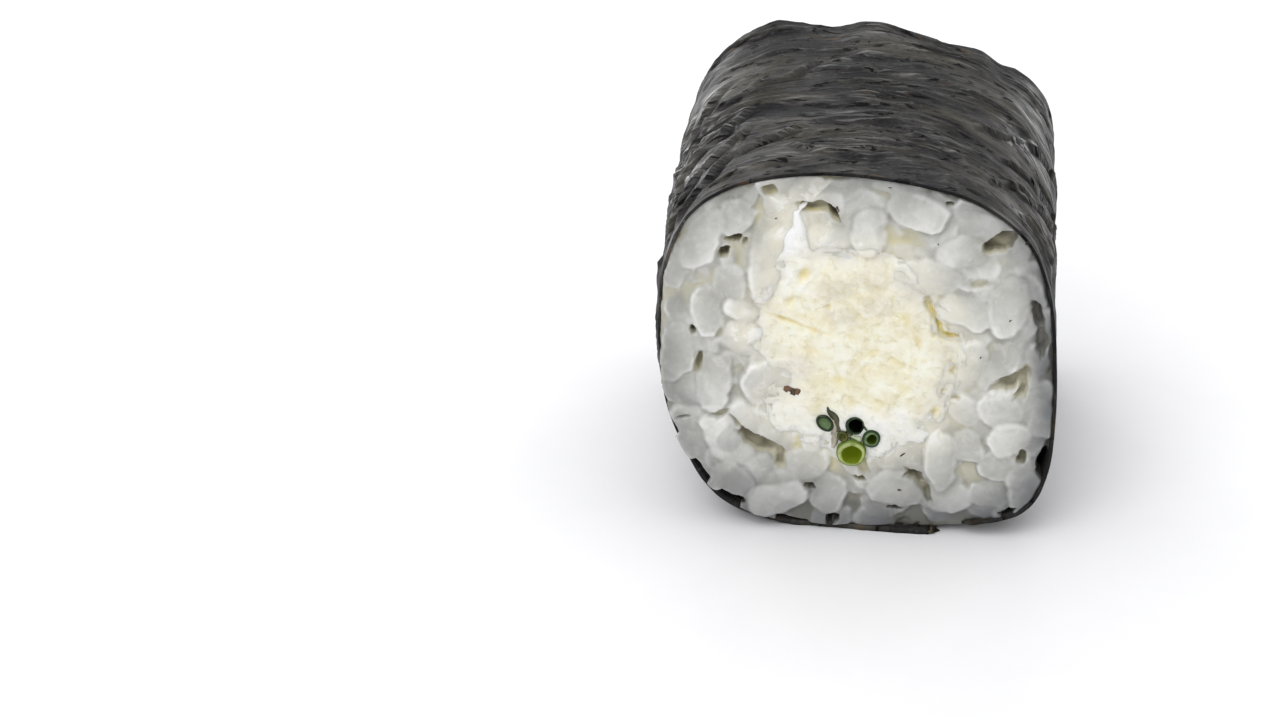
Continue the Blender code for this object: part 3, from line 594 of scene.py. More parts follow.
# How much greyer the rice is close to the nori: angle round the roll and share
RIM_SHADE = [(0, 1.2), (30, 0.90), (50, 0.65), (100, 0.45), (150, 0.25), (180, 0.50), (215, 0.65),
             (250, 1.0), (330, 1.1), (360, 1.2)]
SHADE_REACH = 3.2               # how far in from the nori that goes, in millimetres
LOW_REACH = 2.2                 # and how much farther low down
LOW_SHADE = 0.50                # it is greyer all over
LOW_TOP = 8.5                   # below this height
LOW_FADE = 6.0                  # and over this much
CREAM_REACH = 3.4               # the cheese stains it this far round
# How grain outlines wander, and pit outlines besides: amount, wave's size, seeds along X and Z, millimetres
GRAIN_WARPS = [(0.36, 2.3, 3.1, 7.3), (0.24, 1.0, 5.7, 9.1), (0.07, 0.35, 6.7, 8.3)]
PIT_WARPS = [(0.22, 0.9, 4.0, 12.0), (0.08, 0.35, 8.0, 15.0)]


class Boundary:
    """A closed outline that tells how deep inside it a place lies."""

    EVERY = 4                   # it looks for the nearest of every fourth point
    BATCH = 20000

    def __init__(self, loop, inset=0.0):
        self.loop = loop - outward(loop) * inset
        self.normals = outward(self.loop)

    def nearest(self, places):
        gaps = ((places[:, None, :] - self.loop[None, ::self.EVERY, :]) ** 2).sum(axis=2)
        return np.argmin(gaps, axis=1) * self.EVERY

    def depth(self, places):
        found = np.empty(len(places))
        for first in range(0, len(places), self.BATCH):
            some = places[first:first + self.BATCH]
            index = self.nearest(some)
            found[first:first + self.BATCH] = -np.sum((some - self.loop[index]) * self.normals[index], axis=1)
        return found


def rice_rim(side):
    """The outline of the rice at one cut, close to the sheet's outer face, and over it at the left of the
    front."""
    loop, normals = roll_loop(RIM_POINTS)
    angle = round_the_roll(loop)
    inset = RICE_RIM - back_edge_lift(angle)
    if side < 0:
        inset = RICE_RIM - np.interp(angle, *np.array(OVERHANG, dtype=float).T) * MM
    return Boundary(loop - normals * inset[:, None])


rims = {side: rice_rim(side) for side in (-1, 1)}
cheese_edge = Boundary(smooth_loop(CHEESE_OUTLINE, RIM_POINTS))


def in_grain_axes(grain, x, z):
    """Where a place lies along and across a grain, in its half lengths and half widths."""
    gx, gz, half_length, half_width, lean = grain[:5]
    angle = math.radians(lean)
    along = (x - gx) * math.cos(angle) + (z - gz) * math.sin(angle)
    across = (z - gz) * math.cos(angle) - (x - gx) * math.sin(angle)
    return along / half_length, across / half_width


def scattered_grains(chance, layer, placed, rim):
    """Grains on a jittered honeycomb wherever rice shows and no placed grain lies."""
    spacing, lengths, widths, proud_range, room = layer
    row_step = spacing * math.sqrt(3) / 2
    columns = math.ceil(WIDTH / MM / 2 / spacing)
    grains = []
    for row in range(math.ceil(WIDTH / MM / row_step) + 1):
        for column in range(-columns, columns + 1):
            x = ((column + 0.5 * (row % 2)) * spacing + chance.uniform(-0.3, 0.3) * spacing) * MM
            z = ((row + 0.4) * row_step + chance.uniform(-0.3, 0.3) * spacing) * MM
            half_length, half_width = chance.uniform(*lengths) * MM, chance.uniform(*widths) * MM
            lean, proud = chance.uniform(0, 180), chance.uniform(*proud_range) * MM
            place = np.array([[x, z]])
            depth = rim.depth(place)[0]
            if depth < 0.2 * half_width or cheese_edge.depth(place)[0] > UNDER_CHEESE:
                continue
            if depth < 1.9 * MM:
                normal = rim.normals[rim.nearest(place)[0]]
                lean = math.degrees(math.atan2(normal[0], -normal[1])) + chance.uniform(-30, 30)
            if any(math.hypot(*in_grain_axes(grain, x, z)) < room for grain in placed):
                continue
            grains.append((x, z, half_length, half_width, lean, proud))
    return grains


def rice_finish():
    finish = Finish("rice", Subsurface_Weight=0.65, Subsurface_Radius=(1.0, 0.95, 0.84),
                    Subsurface_Scale=0.0009, Specular_IOR_Level=0.5, Coat_Roughness=0.22, IOR=1.38)
    place = finish.place()
    tone, depth, creamy = finish.painted("tone"), finish.painted("depth"), finish.painted("creamy")
    shade = finish.painted("shade")
    starch = finish.noise(place, 900.0, 3.0, 0.6)
    clouds = finish.noise(place, 330.0, 3.0, 0.55, 0.4)
    milk = finish.noise(place, 1200.0, 4.0, 0.62, 0.4)
    film = finish.noise(place, 480.0, 4.0, 0.6, 0.6)
    crease_shading = finish.painted("crease_shading")
    # each grain's paleness, with its painted highlights and painted shadows
    body = finish.coats(
        finish.mix(tone, colour(150, 149, 139), colour(224, 224, 220)),
        (clouds.step(0.42, 0.68) * 0.34, (164, 164, 158)),
        (creamy * 0.85, (234, 230, 213)),
        (milk.step(0.52, 0.66) * 0.20, (240, 240, 236)),
        (milk.step(0.46, 0.34) * 0.12, (150, 150, 142)),
        (film.step(0.54, 0.62) * creamy.step(0.25, 0.8) * 0.8, (247, 246, 240)),
        # painted shade in the creases between grains, and a painted highlight on their ridges
        (crease_shading.step(0.02, 0.14) * 0.20, (170, 168, 152)),
        ((-1.0 * crease_shading).step(0.01, 0.09) * 0.60, (240, 240, 237)),
        (shade * (0.96 - 0.42 * tone), (94, 97, 102)))
    # painted shade in the hollows: beige where shallow and grey near the nori, darker and olive deeper, near
    # black at the deepest
    gap = finish.coats(
        finish.mix(creamy, colour(200, 197, 178), colour(226, 218, 174)),
        (shade.step(0.2, 0.7), (118, 118, 112)))
    body = finish.coats(
        finish.mix(depth.step(0.26, 0.46), body, gap),
        (depth.step(0.62, 0.95), (166, 161, 140)),
        (depth.step(1.0, 1.4), (110, 104, 86)),
        (depth.step(0.6, 0.9) * shade.step(0.4, 0.9), (92, 91, 90)),
        (depth.step(1.8, 2.3), (10, 9, 8)))
    rough = 0.30 + 0.25 * starch
    height = starch * 0.7 + finish.noise(place, 2600.0, 2.0) * 0.15
    return finish.feed(Base_Color=body, Roughness=rough, Coat_Weight=clouds.step(0.45, 0.7) * 0.4,
                       Normal=finish.bump(height, 0.00012, 0.8))


def softened(field, times):
    """A grid of values blurred a little, several times over."""
    for _ in range(times):
        for axis in (0, 1):
            field = (np.roll(field, 1, axis) + 2 * field + np.roll(field, -1, axis)) / 4
    return field


def sliced_face(chance, across, up, grains, buried, hollows, side):
    """Height of the sticky cut face over a grid, how pale its grains are there, painted lighter the prouder
    they stand, with painted rim highlights and painted shadows round them, and how far it lies below what is
    round it. The first grains, as many as buried says, lie behind and show in the hollows."""
    x, z = np.meshgrid(across, up, indexing="ij")
    spots = np.column_stack([x.ravel(), z.ravel(), np.full(x.size, side * 9 * MM)])

    def uneven(size, shift, octaves=1):
        return wanders(spots + shift * MM, size * MM, octaves).reshape(x.shape) * MM

    def warped(x, z, warps):
        for amount, size, x_seed, z_seed in warps:
            x = x + amount * uneven(size, x_seed)
            z = z + amount * uneven(size, z_seed)
        return x, z

    bent_x, bent_z = warped(x, z, GRAIN_WARPS)
    height = PACKED_FACE + 0.25 * uneven(1.1, 1.7)
    tone = np.full(x.shape, 0.30)
    behind = height
    for number, grain in enumerate(grains):
        if number == buried:
            behind = height - HOLLOW_STEP
        gx, gz, half_length, half_width, lean, proud = grain
        reach = 1.35 * max(half_length, half_width)
        i, k = np.searchsorted(across, (gx - reach, gx + reach))
        j, m = np.searchsorted(up, (gz - reach, gz + reach))
        box = (slice(i, k), slice(j, m))
        # Each grain has its own blunt ends, bend and paleness, its cut slopes a little, and it is sunk in
        blunt, bend, own = chance.uniform(2.1, 2.9), chance.uniform(-0.2, 0.2), chance.random()
        tilt_x, tilt_z = chance.uniform(-0.14, 0.14), chance.uniform(-0.16, 0.12)
        sunk = chance.uniform(0.10, 0.50)
        a, b = in_grain_axes(grain, bent_x[box], bent_z[box])
        b = b + bend * a ** 2
        ring = (np.abs(a) ** blunt + np.abs(b) ** blunt) ** (1 / blunt)
        dome = proud + half_width * (1.1 * np.sqrt(np.clip(1 - ring ** 2, 0, None)) - sunk)
        crown = WHOLE_CROWN if proud > WHOLE_FROM else CUT_CROWN
        cut = proud - crown * ring ** 2 + tilt_x * (x[box] - gx) + tilt_z * (z[box] - gz)
        over = dome - cut
        top = cut + 0.5 * (over - np.sqrt(over ** 2 + (0.10 * MM) ** 2))
        top[ring >= 1] = -1.0
        below = height[box]
        share = np.clip(0.5 + 0.5 * (top - below) / STICKY, 0, 1)
        height[box] = below + (top - below) * share + STICKY * share * (1 - share)
        # Painted light: a grain is painted paler the prouder it stands and the higher its sloping cut rises,
        # with a painted highlight on its rim, and it paints a shadow round its outline on what lies behind
        edge = smoothstep((ring - 0.72) / 0.22)
        pale = 0.64 + 0.75 * proud / MM + 0.36 * (own - 0.5) + 0.24 * edge
        pale = pale + 1.3 * (tilt_x * (x[box] - gx) + tilt_z * (z[box] - gz)) / MM
        halo = smoothstep((ring - 0.95) / 0.05) * smoothstep((1.20 - ring) / 0.22)
        tone[box] = np.maximum(tone[box] - CAST * halo * max(0.0, proud / MM + 0.35), 0.0)
        tone[box] += (np.clip(pale, 0, 1) - tone[box]) * share
    height += 0.05 * uneven(0.6, 2.0, 2)
    height = softened(np.maximum(height, softened(height, 30) - GROOVE), 2)
    # how far a place lies below what is round it, for painted crease shade and ridge highlight
    crease_shading = softened(height, 12) - height
    torn_x, torn_z = warped(bent_x, bent_z, PIT_WARPS)
    for gx, gz, half_length, half_width, lean, deep in hollows:
        hollow = (gx * MM, gz * MM, half_length * MM, half_width * MM, lean)
        ring = np.hypot(*in_grain_axes(hollow, torn_x, torn_z))
        inside = smoothstep((1.15 - ring) / (PIT_SLOPE if deep > PIT_DEPTH else HOLLOW_SLOPE))
        floor_height = -deep * MM + 0.3 * uneven(0.9, 6.0)
        if deep > SHALLOW:
            floor_height = np.minimum(behind, floor_height)
        height += (np.minimum(height, floor_height) - height) * inside
    return height, softened(tone, 2), crease_shading


def grid_plate(name, across, up, held, near_y, far_y):
    """A plate of square cells wherever the grid is held, from the cut back to a flat face."""
    cells = held[:-1, :-1] & held[1:, :-1] & held[:-1, 1:] & held[1:, 1:]
    numbers = np.arange(held.size).reshape(held.shape)
    corners = (numbers[:-1, :-1], numbers[1:, :-1], numbers[1:, 1:], numbers[:-1, 1:])
    faces = np.stack([corner[cells] for corner in corners], axis=1)
    used = np.unique(faces)
    renumber = np.zeros(held.size, dtype=int)
    renumber[used] = np.arange(len(used))
    x, z = np.meshgrid(across, up, indexing="ij")
    places = np.column_stack([x.ravel()[used], np.full(len(used), near_y), z.ravel()[used]])
    piece = make_piece(name, places, renumber[faces].tolist())
    bm = bmesh.new()
    bm.from_mesh(piece.data)
    grown = bmesh.ops.extrude_face_region(bm, geom=list(bm.faces), use_keep_orig=True)["geom"]
    far = [thing for thing in grown if isinstance(thing, bmesh.types.BMVert)]
    bmesh.ops.translate(bm, verts=far, vec=(0, far_y - near_y, 0))
    bmesh.ops.recalc_face_normals(bm, faces=bm.faces)
    bm.to_mesh(piece.data)
    bm.free()
    return piece, used


def flat_grid(outline, room, cell):
    """Even places over the box round an outline: along X, along Z, all of them, and all with a zero."""
    low, high = outline.loop.min(axis=0) - room, outline.loop.max(axis=0) + room
    across, up = (np.arange(low[axis], high[axis], cell) for axis in (0, 1))
    flat = np.stack(np.meshgrid(across, up, indexing="ij"), axis=-1).reshape(-1, 2)
    return across, up, flat, np.column_stack([flat, np.zeros(len(flat))])


def move_points(piece, places):
    piece.data.vertices.foreach_set("co", places.ravel().astype(np.float32))


rice_faces = {}                 # the height of the rice at each cut, for the cheese that is smeared on it


def rice_height(side, flat):
    across, up, height = rice_faces[side]
    column = np.clip(np.searchsorted(across, flat[:, 0]), 0, len(across) - 1)
    row = np.clip(np.searchsorted(up, flat[:, 1]), 0, len(up) - 1)
    return height[column, row]


def rice_end(name, grains, buried, hollows, side, cell, material, chance):
    """One end of the rice: the cut face in full detail and a plain plate behind it."""
    rim = rims[side]
    across, up, flat, level = flat_grid(rim, cell, cell)
    rim_depth, cheese_depth = rim.depth(flat), cheese_edge.depth(flat)
    ragged = 0.10 * MM * wanders(level, 1.5 * MM, 3)
    if side < 0:
        angle = round_the_roll(flat)
        loose = smoothstep((angle - STEPPED_FROM[0]) / STEPPED_FADE)
        loose *= smoothstep((STEPPED_FROM[1] - angle) / STEPPED_FADE)
        ragged -= loose * STEPPED * smoothstep(0.3 - 5.0 * wanders(level + 0.013, 2.6 * MM))
    held = (rim_depth + ragged > 0) & (cheese_depth < UNDER_CHEESE)
    layers = sliced_face(chance, across, up, grains, buried, hollows, side)
    height, tone, crease_shading = (layer.ravel() for layer in layers)
    height -= RIM_ROUND * smoothstep(1 - (rim_depth + ragged) / RIM_ROUND) ** 3
    rice_faces[side] = (across, up, height.reshape(len(across), len(up)))
    near_y = side * LENGTH / 2
    piece, used = grid_plate(name, across, up, held.reshape(len(across), len(up)), near_y,
                             side * (LENGTH / 2 - END_DEPTH))
    places = points_of(piece)
    places[:len(used), 1] += side * height[used]
    middle = np.array((0, 0, WIDTH / 2))
    narrow = 1 - END_TAPER / (WIDTH / 2)
    places[len(used):] = middle + (places[len(used):] - middle) * (narrow, 1, narrow)
    move_points(piece, places)
    spread = cheese_depth + wanders(level, 2.6 * MM, 2) * 0.9 * MM
    shade = np.interp(round_the_roll(flat), *np.array(RIM_SHADE, dtype=float).T)
    low = smoothstep((LOW_TOP - flat[:, 1] / MM) / LOW_FADE)
    reach = (SHADE_REACH + LOW_REACH * low) * MM
    near_nori = smoothstep(1 - (rim_depth + 4 * ragged) / reach) * shade
    near_nori = np.maximum(near_nori, LOW_SHADE * low)
    # the paleness carries painted highlights and shadows; depth, shade and creases steer painted shade in the
    # finish
    for label, values in (("tone", tone), ("depth", -height / MM), ("shade", near_nori),
                          ("crease_shading", crease_shading / MM), ("creamy", smoothstep(1 + spread / (CREAM_REACH * MM)))):
        paint(piece, label, np.concatenate([values[used], values[used]]))
    open_chive_bores(piece)
    return dress_piece(piece, material, "rice")


def rice_core(material):
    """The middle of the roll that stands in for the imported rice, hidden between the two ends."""
    loop = Boundary(roll_loop(CORE_POINTS)[0], END_TAPER).loop
    count = len(loop)
    reach = LENGTH / 2 - END_DEPTH + 0.3 * MM
    rings = [np.column_stack([loop[:, 0], np.full(count, y), loop[:, 1]]) for y in (-reach, reach)]
    faces = [(i, (i + 1) % count, count + (i + 1) % count, count + i) for i in range(count)]
    faces += [tuple(reversed(range(count))), tuple(range(count, 2 * count))]
    core = make_piece("rice_core", np.vstack(rings), faces)
    open_chive_bores(core)
    return dress_piece(core, material, "rice", smooth=False)


# Thin hollow leaves run through the rice and the cheese: outer radius, its squash along and across a
# lean in degrees, wall, place at the front cut and at the back cut, and kind. The rice and the cheese are
# pressed round them.
CHIVES = {
    "chive_wide": (1.10, (1.00, 0.98, 0), 0.34, (-0.33, 6.82), (0.5, 7.1), "bright"),
    "chive_dark": (0.72, (0.98, 1.03, 0), 0.17, (-0.10, 9.15), (1.3, 9.9), "black"),
    "chive_ringed": (0.72, (0.95, 1.03, 0), 0.34, (1.14, 8.14), (2.7, 7.7), "deep"),
    "chive_oval": (0.66, (1.16, 0.84, 132), 0.22, (-2.32, 9.28), (-1.6, 9.2), "grey"),
    "chive_thin": (0.44, (1.05, 0.95, 120), 0.20, (-0.98, 8.22), (-1.4, 7.9), "olive"),
}
CHIVE_SIDES = 48
BORE_BITE = 0.07 * MM           # the skin of each leaf is pressed this far into what is round it
LEAF_UNEVEN = 0.06              # share by which a leaf is out of round


def leaf_ring(name, along, inset):
    """Points round a leaf at a share of its length, a given way inside its skin."""
    radius, squash, _, front, back, _ = CHIVES[name]
    turn = np.arange(CHIVE_SIDES) / CHIVE_SIDES * 2 * math.pi
    round_it = np.column_stack([np.cos(turn), np.sin(turn)])
    seeds = np.column_stack([round_it * 1.2 + len(name) * 3.7, np.full(CHIVE_SIDES, along * 4)])
    reach = radius * MM * (1 + LEAF_UNEVEN * wanders(seeds, 1.0)) - inset
    middle = np.array(front) + (np.array(back) - front) * along
    lean = math.radians(squash[2])
    tilted = np.array(((math.cos(lean), math.sin(lean)), (-math.sin(lean), math.cos(lean))))
    return middle * MM + (round_it * reach[:, None] * squash[:2]) @ tilted


def open_chive_bores(piece):
    """Cuts room for every leaf through a piece, a little inside the leaf's skin so that no gap shows."""
    places, faces = [], []
    for number, name in enumerate(CHIVES):
        start = number * 2 * CHIVE_SIDES
        for along in (-0.05, 1.05):
            ring = leaf_ring(name, along, BORE_BITE)
            y = np.full(CHIVE_SIDES, (along - 0.5) * LENGTH)
            places.append(np.column_stack([ring[:, 0], y, ring[:, 1]]))
        for i in range(CHIVE_SIDES):
            j = (i + 1) % CHIVE_SIDES
            faces.append((start + i, start + j, start + CHIVE_SIDES + j, start + CHIVE_SIDES + i))
        faces.append(tuple(range(start, start + CHIVE_SIDES)))
        faces.append(tuple(range(start + CHIVE_SIDES, start + 2 * CHIVE_SIDES)))
    bores = make_piece("bores", np.vstack(places), faces)
    cut = piece.modifiers.new("bores", "BOOLEAN")
    cut.operation = "DIFFERENCE"
    cut.object = bores
    cut.solver = "MANIFOLD"
    apply_modifiers(piece)
    bpy.data.objects.remove(bores, do_unlink=True)


def build_rice():
    """Both ends and the middle. Placed grains lie over the filling ones, and those over the buried ones."""
    chance = random.Random(7)
    material = rice_finish()
    placed = [tuple(value * MM for value in row[:4]) + (row[4], row[5] * MM) for row in FRONT_GRAINS]
    behind, between = (scattered_grains(chance, layer, placed, rims[-1]) for layer in reversed(FRONT_LAYERS))
    front_end = rice_end("rice_front", behind + between + placed, len(behind), FRONT_HOLLOWS, -1, FRONT_CELL,
                         material, chance)
    back = [grain for layer in reversed(BACK_LAYERS)
            for grain in scattered_grains(chance, layer, [], rims[1])]
    rice_end("rice_back", back, 0, [], 1, BACK_CELL, material, chance)
    rice_core(material)
    return front_end


rice_front = build_rice()


# ==================== cream cheese
# Soft white cheese laid down as a bar before rolling. The knife smeared its cut face and dragged small
# pits into it, and grains of rice lie under a thin film of it.

CHEESE_CELL = 0.075 * MM
CHEESE_SPREAD = 1.00 * MM       # the knife smeared it this far over the grains round it
CHEESE_EDGE = 2.0 * MM          # over this much it thins out to a film
FILM = 0.07 * MM                # and that lies this far above or below the grains
CHEESE_PROUD = 0.08 * MM
TONGUE_PROUD = 0.12 * MM        # the thin tongue between two grains stands out more
DRAG = np.array((0.95, -0.32))  # the way the knife dragged, across the cut
CHEESE_PITS = [                 # x, z, half length, half width, lean, depth
    (-4.1, 21.5, 0.55, 0.40, 60, 0.40), (-5.0, 19.4, 0.50, 0.30, 70, 0.25),
    (1.0, 15.3, 0.50, 0.35, 10, 0.18), (0.6, 14.1, 0.40, 0.28, 30, 0.16),
    (2.7, 14.7, 0.60, 0.30, 150, 0.15), (-2.2, 19.1, 0.20, 0.18, 0, 0.20),
    (5.35, 18.8, 0.75, 0.26, 112, 0.60), (5.8, 17.6, 0.80, 0.34, 116, 0.70),
    (6.5, 16.8, 0.70, 0.32, 160, 0.65), (6.8, 14.0, 0.65, 0.34, 85, 0.60),
    (6.2, 12.4, 0.45, 0.26, 70, 0.45), (5.6, 10.4, 0.50, 0.32, 60, 0.45),
    (-1.3, 12.9, 0.60, 0.35, 160, 0.14), (-0.4, 11.0, 0.45, 0.30, 150, 0.12),
    (1.5, 11.2, 0.50, 0.30, 140, 0.10), (3.2, 12.6, 0.60, 0.35, 150, 0.12),
    (-5.1, 17.7, 1.90, 0.16, 161, 0.24), (-3.1, 15.2, 0.60, 0.25, 150, 0.12),
    (4.4, 16.4, 0.50, 0.22, 120, 0.16), (-0.6, 16.6, 0.55, 0.22, 155, 0.12),
    (3.4, 18.2, 0.45, 0.20, 140, 0.14),
]
CHEESE_LUMPS = [                # grains under a thin film: x, z, half length, half width, lean, height
    (0.9, 21.6, 1.8, 1.1, 165, 0.30), (-1.9, 20.6, 1.9, 1.2, 20, 0.26), (1.4, 19.4, 1.8, 1.1, 10, 0.24),
    (-1.4, 18.4, 1.5, 1.0, 150, 0.16), (-4.8, 13.9, 1.7, 1.2, 20, 0.22), (3.2, 20.6, 1.3, 0.9, 140, 0.25),
    (-4.7, 25.2, 0.6, 1.9, 4, 0.20),
]


def cheese_finish():
    finish = Finish("cream_cheese", Subsurface_Weight=0.4, Subsurface_Radius=(1.0, 0.88, 0.62),
                    Subsurface_Scale=0.0009, Specular_IOR_Level=0.4, IOR=1.42)
    place = finish.place()
    pit, lump, white = finish.painted("pit"), finish.painted("lump"), finish.painted("white")
    smear = finish.noise(place, 420.0, 4.0, 0.6, 0.8)
    fine = finish.noise(place, 2200.0, 3.0, 0.6)
    spots = finish.noise(place, 700.0, 2.0, 0.5)
    crumbs = finish.noise(place, 1500.0, 4.0, 0.65, 0.3)
    body = finish.coats(
        finish.mix(smear.step(0.36, 0.66), colour(240, 233, 204), colour(253, 250, 232)),
        (lump * 0.85, (228, 222, 202)),
        (spots.step(0.60, 0.74) * 0.45, (228, 214, 160)),
        (crumbs.step(0.56, 0.68) * 0.45, (228, 216, 168)),
        # painted highlight: white glints on the crumbs
        (crumbs.step(0.46, 0.36) * 0.40, (255, 254, 246)),
        (white, (255, 255, 251)),
        (finish.painted("thin") * 0.80, (238, 235, 223)),
        (pit, (232, 214, 118)))
    rough = 0.42 + 0.25 * fine
    height = fine * 0.4 + smear * 0.8 - crumbs.step(0.50, 0.70) * 0.7
    return finish.feed(Base_Color=body, Roughness=rough, Normal=finish.bump(height, 0.00011, 0.8))


def up_left(x, z, from_x, x_fade, from_z, z_fade):
    """1 up and to the left of a place on the cut, where the tongue is, and 0 elsewhere; millimetres."""
    return smoothstep((z - from_z) / z_fade) * smoothstep((from_x - x) / x_fade)


def cheese_relief(flat, depth, side):
    """How far the smeared face stands out, and how much pit, filmed grain and clean white shows there."""
    x, z = flat.T / MM
    along, across = flat @ DRAG, flat @ np.array((-DRAG[1], DRAG[0]))
    dragged = np.column_stack([along, across, np.full(len(flat), side * 7 * MM)])
    height = CHEESE_PROUD + 0.14 * MM * wanders(dragged[:, [1, 2, 0]], 3.3 * MM, 2)
    height += 0.06 * MM * wanders(dragged, (3.6 * MM, 1.2 * MM, 1), 3)
    height += 0.03 * MM * wanders(dragged, (1.2 * MM, 0.45 * MM, 1), 3)
    pit, lump = np.zeros(len(flat)), np.zeros(len(flat))
    if side < 0:
        warp = 1 + 0.5 * wanders(dragged, 0.7 * MM, 2)
        for *grain, lean, rise in CHEESE_LUMPS:
            grain = (*np.array(grain) * MM, lean)
            dome = smoothstep(0.8 * (1.3 - np.square(in_grain_axes(grain, *flat.T)).sum(axis=0) / warp))
            height += (rise * MM - 0.6 * height) * dome
            lump = np.maximum(lump, dome)
        for *hollow, lean, deep in CHEESE_PITS:
            hollow = (*np.array(hollow) * MM, lean)
            reach = np.hypot(*in_grain_axes(hollow, *flat.T)) / warp
            dip = np.exp(-reach ** 2)
            height -= deep * MM * dip
            pit = np.maximum(pit, dip * min(1.0, 0.10 + 1.3 * deep))
    film = rice_height(side, flat) + FILM * (1.6 * wanders(dragged + 0.02, (2.4 * MM, 1.3 * MM, 1), 3) - 0.1)
    in_tongue = up_left(x, z, -3.2, 0.6, 22.6, 1.0)
    height += (film - height) * smoothstep(1.15 - depth / CHEESE_EDGE) * (1 - in_tongue)
    height += in_tongue * (TONGUE_PROUD - 0.5 * MM * smoothstep(1 - depth / (0.4 * MM)))
    blend = z + 1.4 * wanders(dragged + 0.04, 1.6 * MM, 2)
    foot = 0.75 * smoothstep((11.8 - blend) / 3.0)
    tongue = up_left(x, blend, -3.0, 1.0, 21.8, 3.0)
    patchy = 1.0 * MM * wanders(dragged + 0.07, 2.0 * MM, 3)
    thin = smoothstep(1.1 - (depth + patchy) / (3.2 * MM)) * (1 - tongue)
    beside = 0.6 * up_left(x, blend, -2.6, 1.6, 18.5, 3.0)
    white = np.maximum(np.maximum(tongue, foot), beside)
    return height, pit, lump * (1 - tongue), white, thin * (1 - 0.6 * foot)


def cheese_bar():
    """A dense smeared face at each cut, with the plain side of the bar between them."""
    across, up, flat, level = flat_grid(cheese_edge, CHEESE_SPREAD + CHEESE_CELL, CHEESE_CELL)
    narrow = up_left(*flat.T / MM, -2.8, 0.6, 22.3, 1.2)
    depth = cheese_edge.depth(flat) + CHEESE_SPREAD * (1 - 0.68 * narrow)
    depth += 0.40 * MM * wanders(level, 1.9 * MM, 2) + 0.14 * MM * wanders(level, 0.6 * MM)
    held = (depth > 0).reshape(len(across), len(up))
    piece, used = grid_plate("cheese_bar", across, up, held, -LENGTH / 2, LENGTH / 2)
    flat, depth = flat[used], depth[used]
    places = points_of(piece)
    ends = [cheese_relief(flat, depth, side) for side in (-1, 1)]
    places[:len(used), 1] -= ends[0][0]
    places[len(used):, 1] += ends[1][0]
    move_points(piece, places)
    for name, front, back in zip(("pit", "lump", "white", "thin"), ends[0][1:], ends[1][1:]):
        paint(piece, name, np.concatenate([front, back]))
    open_chive_bores(piece)
    return dress_piece(piece, cheese_finish(), "cream_cheese")


cheese = cheese_bar()


# ==================== chives
# The leaves themselves, in a bunch under the cheese and cut across with it. The skin is green and wet,
# the cut rim shows paler flesh, and two of them are squeezed shut just behind the cut.

CHIVE_ROWS = 30                 # along a leaf
CHIVE_PROUD = 0.16 * MM
RIM_STEPS = (0.12, 0.3, 0.5, 0.7, 0.88)     # rings across the cut rim, as shares of the wall
# How far the hollow sits off the middle of a leaf, as a share of its wall
BORE_SHIFT = {"bright": (0.15, -0.40), "black": (0.55, 0.1), "deep": (0.15, -0.15)}
CHIVE_TONES = {                 # skin, flesh at the cut, lining (the black leaf's painted near black, as shade in its bore), a painted glow for the light that comes through it, and the share of the rim that is skin green
                                # share of the rim that is skin green
    "bright": ((98, 118, 44), (176, 186, 122), (92, 102, 22), (66, 78, 8), 0.12),
    "black": ((30, 48, 20), (34, 58, 24), (5, 7, 4), (0, 0, 0), 0.55),
    "deep": ((36, 58, 28), (118, 144, 100), (52, 60, 10), (20, 28, 2), 0.35),
    "grey": ((32, 50, 24), (40, 62, 30), (106, 130, 88), (0, 0, 0), 0.70),
    "olive": ((62, 68, 20), (100, 100, 40), (74, 78, 20), (0, 0, 0), 0.30),
}
SHUT = ("grey", "olive")
SHUT_DEPTH = 0.14 * MM
RIM_ROUNDING = 0.06 * MM        # the cut rim is rounded by this much
POINTS_A_ROW = 4                # round a flake that lies on the cut
STRIP_ROWS = 20                 # from end to end of a strip
STRIP_THICK = 0.09 * MM
# Crushed strips of leaf and wet film on the cut between the leaves, the first a painted shadow of a gap with
# a leaf shard at its dark tip: middle line with half widths, and the colour at each end
STRIPS = [
    ([(-2.16, 10.62, 0.05), (-2.06, 10.25, 0.16), (-1.78, 9.95, 0.26), (-1.50, 9.62, 0.24),
      (-1.40, 9.20, 0.14), (-1.28, 8.85, 0.10), (-1.15, 8.50, 0.10)], (34, 44, 24), (92, 88, 60)),
    ([(-1.72, 9.55, 0.06), (-1.62, 9.00, 0.20), (-1.55, 8.30, 0.30), (-1.58, 7.60, 0.26),
      (-1.70, 7.00, 0.10)], (160, 154, 134), (176, 172, 156)),
    ([(-0.70, 8.72, 0.08), (-0.58, 8.45, 0.22), (-0.45, 8.20, 0.26), (-0.40, 7.95, 0.10)],
     (50, 62, 18), (84, 92, 36)),
    ([(-0.40, 8.22, 0.08), (-0.10, 8.10, 0.22), (0.22, 7.95, 0.30), (0.52, 7.75, 0.16)],
     (160, 176, 140), (188, 196, 164)),
    ([(0.42, 9.35, 0.05), (0.62, 9.05, 0.10), (0.80, 8.80, 0.08)], (36, 60, 28), (60, 86, 44)),
    ([(-1.30, 7.40, 0.04), (-1.25, 7.00, 0.10), (-1.20, 6.62, 0.08), (-1.10, 6.30, 0.03)],
     (60, 86, 40), (70, 96, 44)),
    ([(-0.80, 7.68, 0.04), (-0.35, 7.74, 0.08), (0.10, 7.66, 0.08), (0.45, 7.46, 0.11), (0.68, 7.15, 0.06)],
     (92, 104, 56), (74, 98, 44)),
]


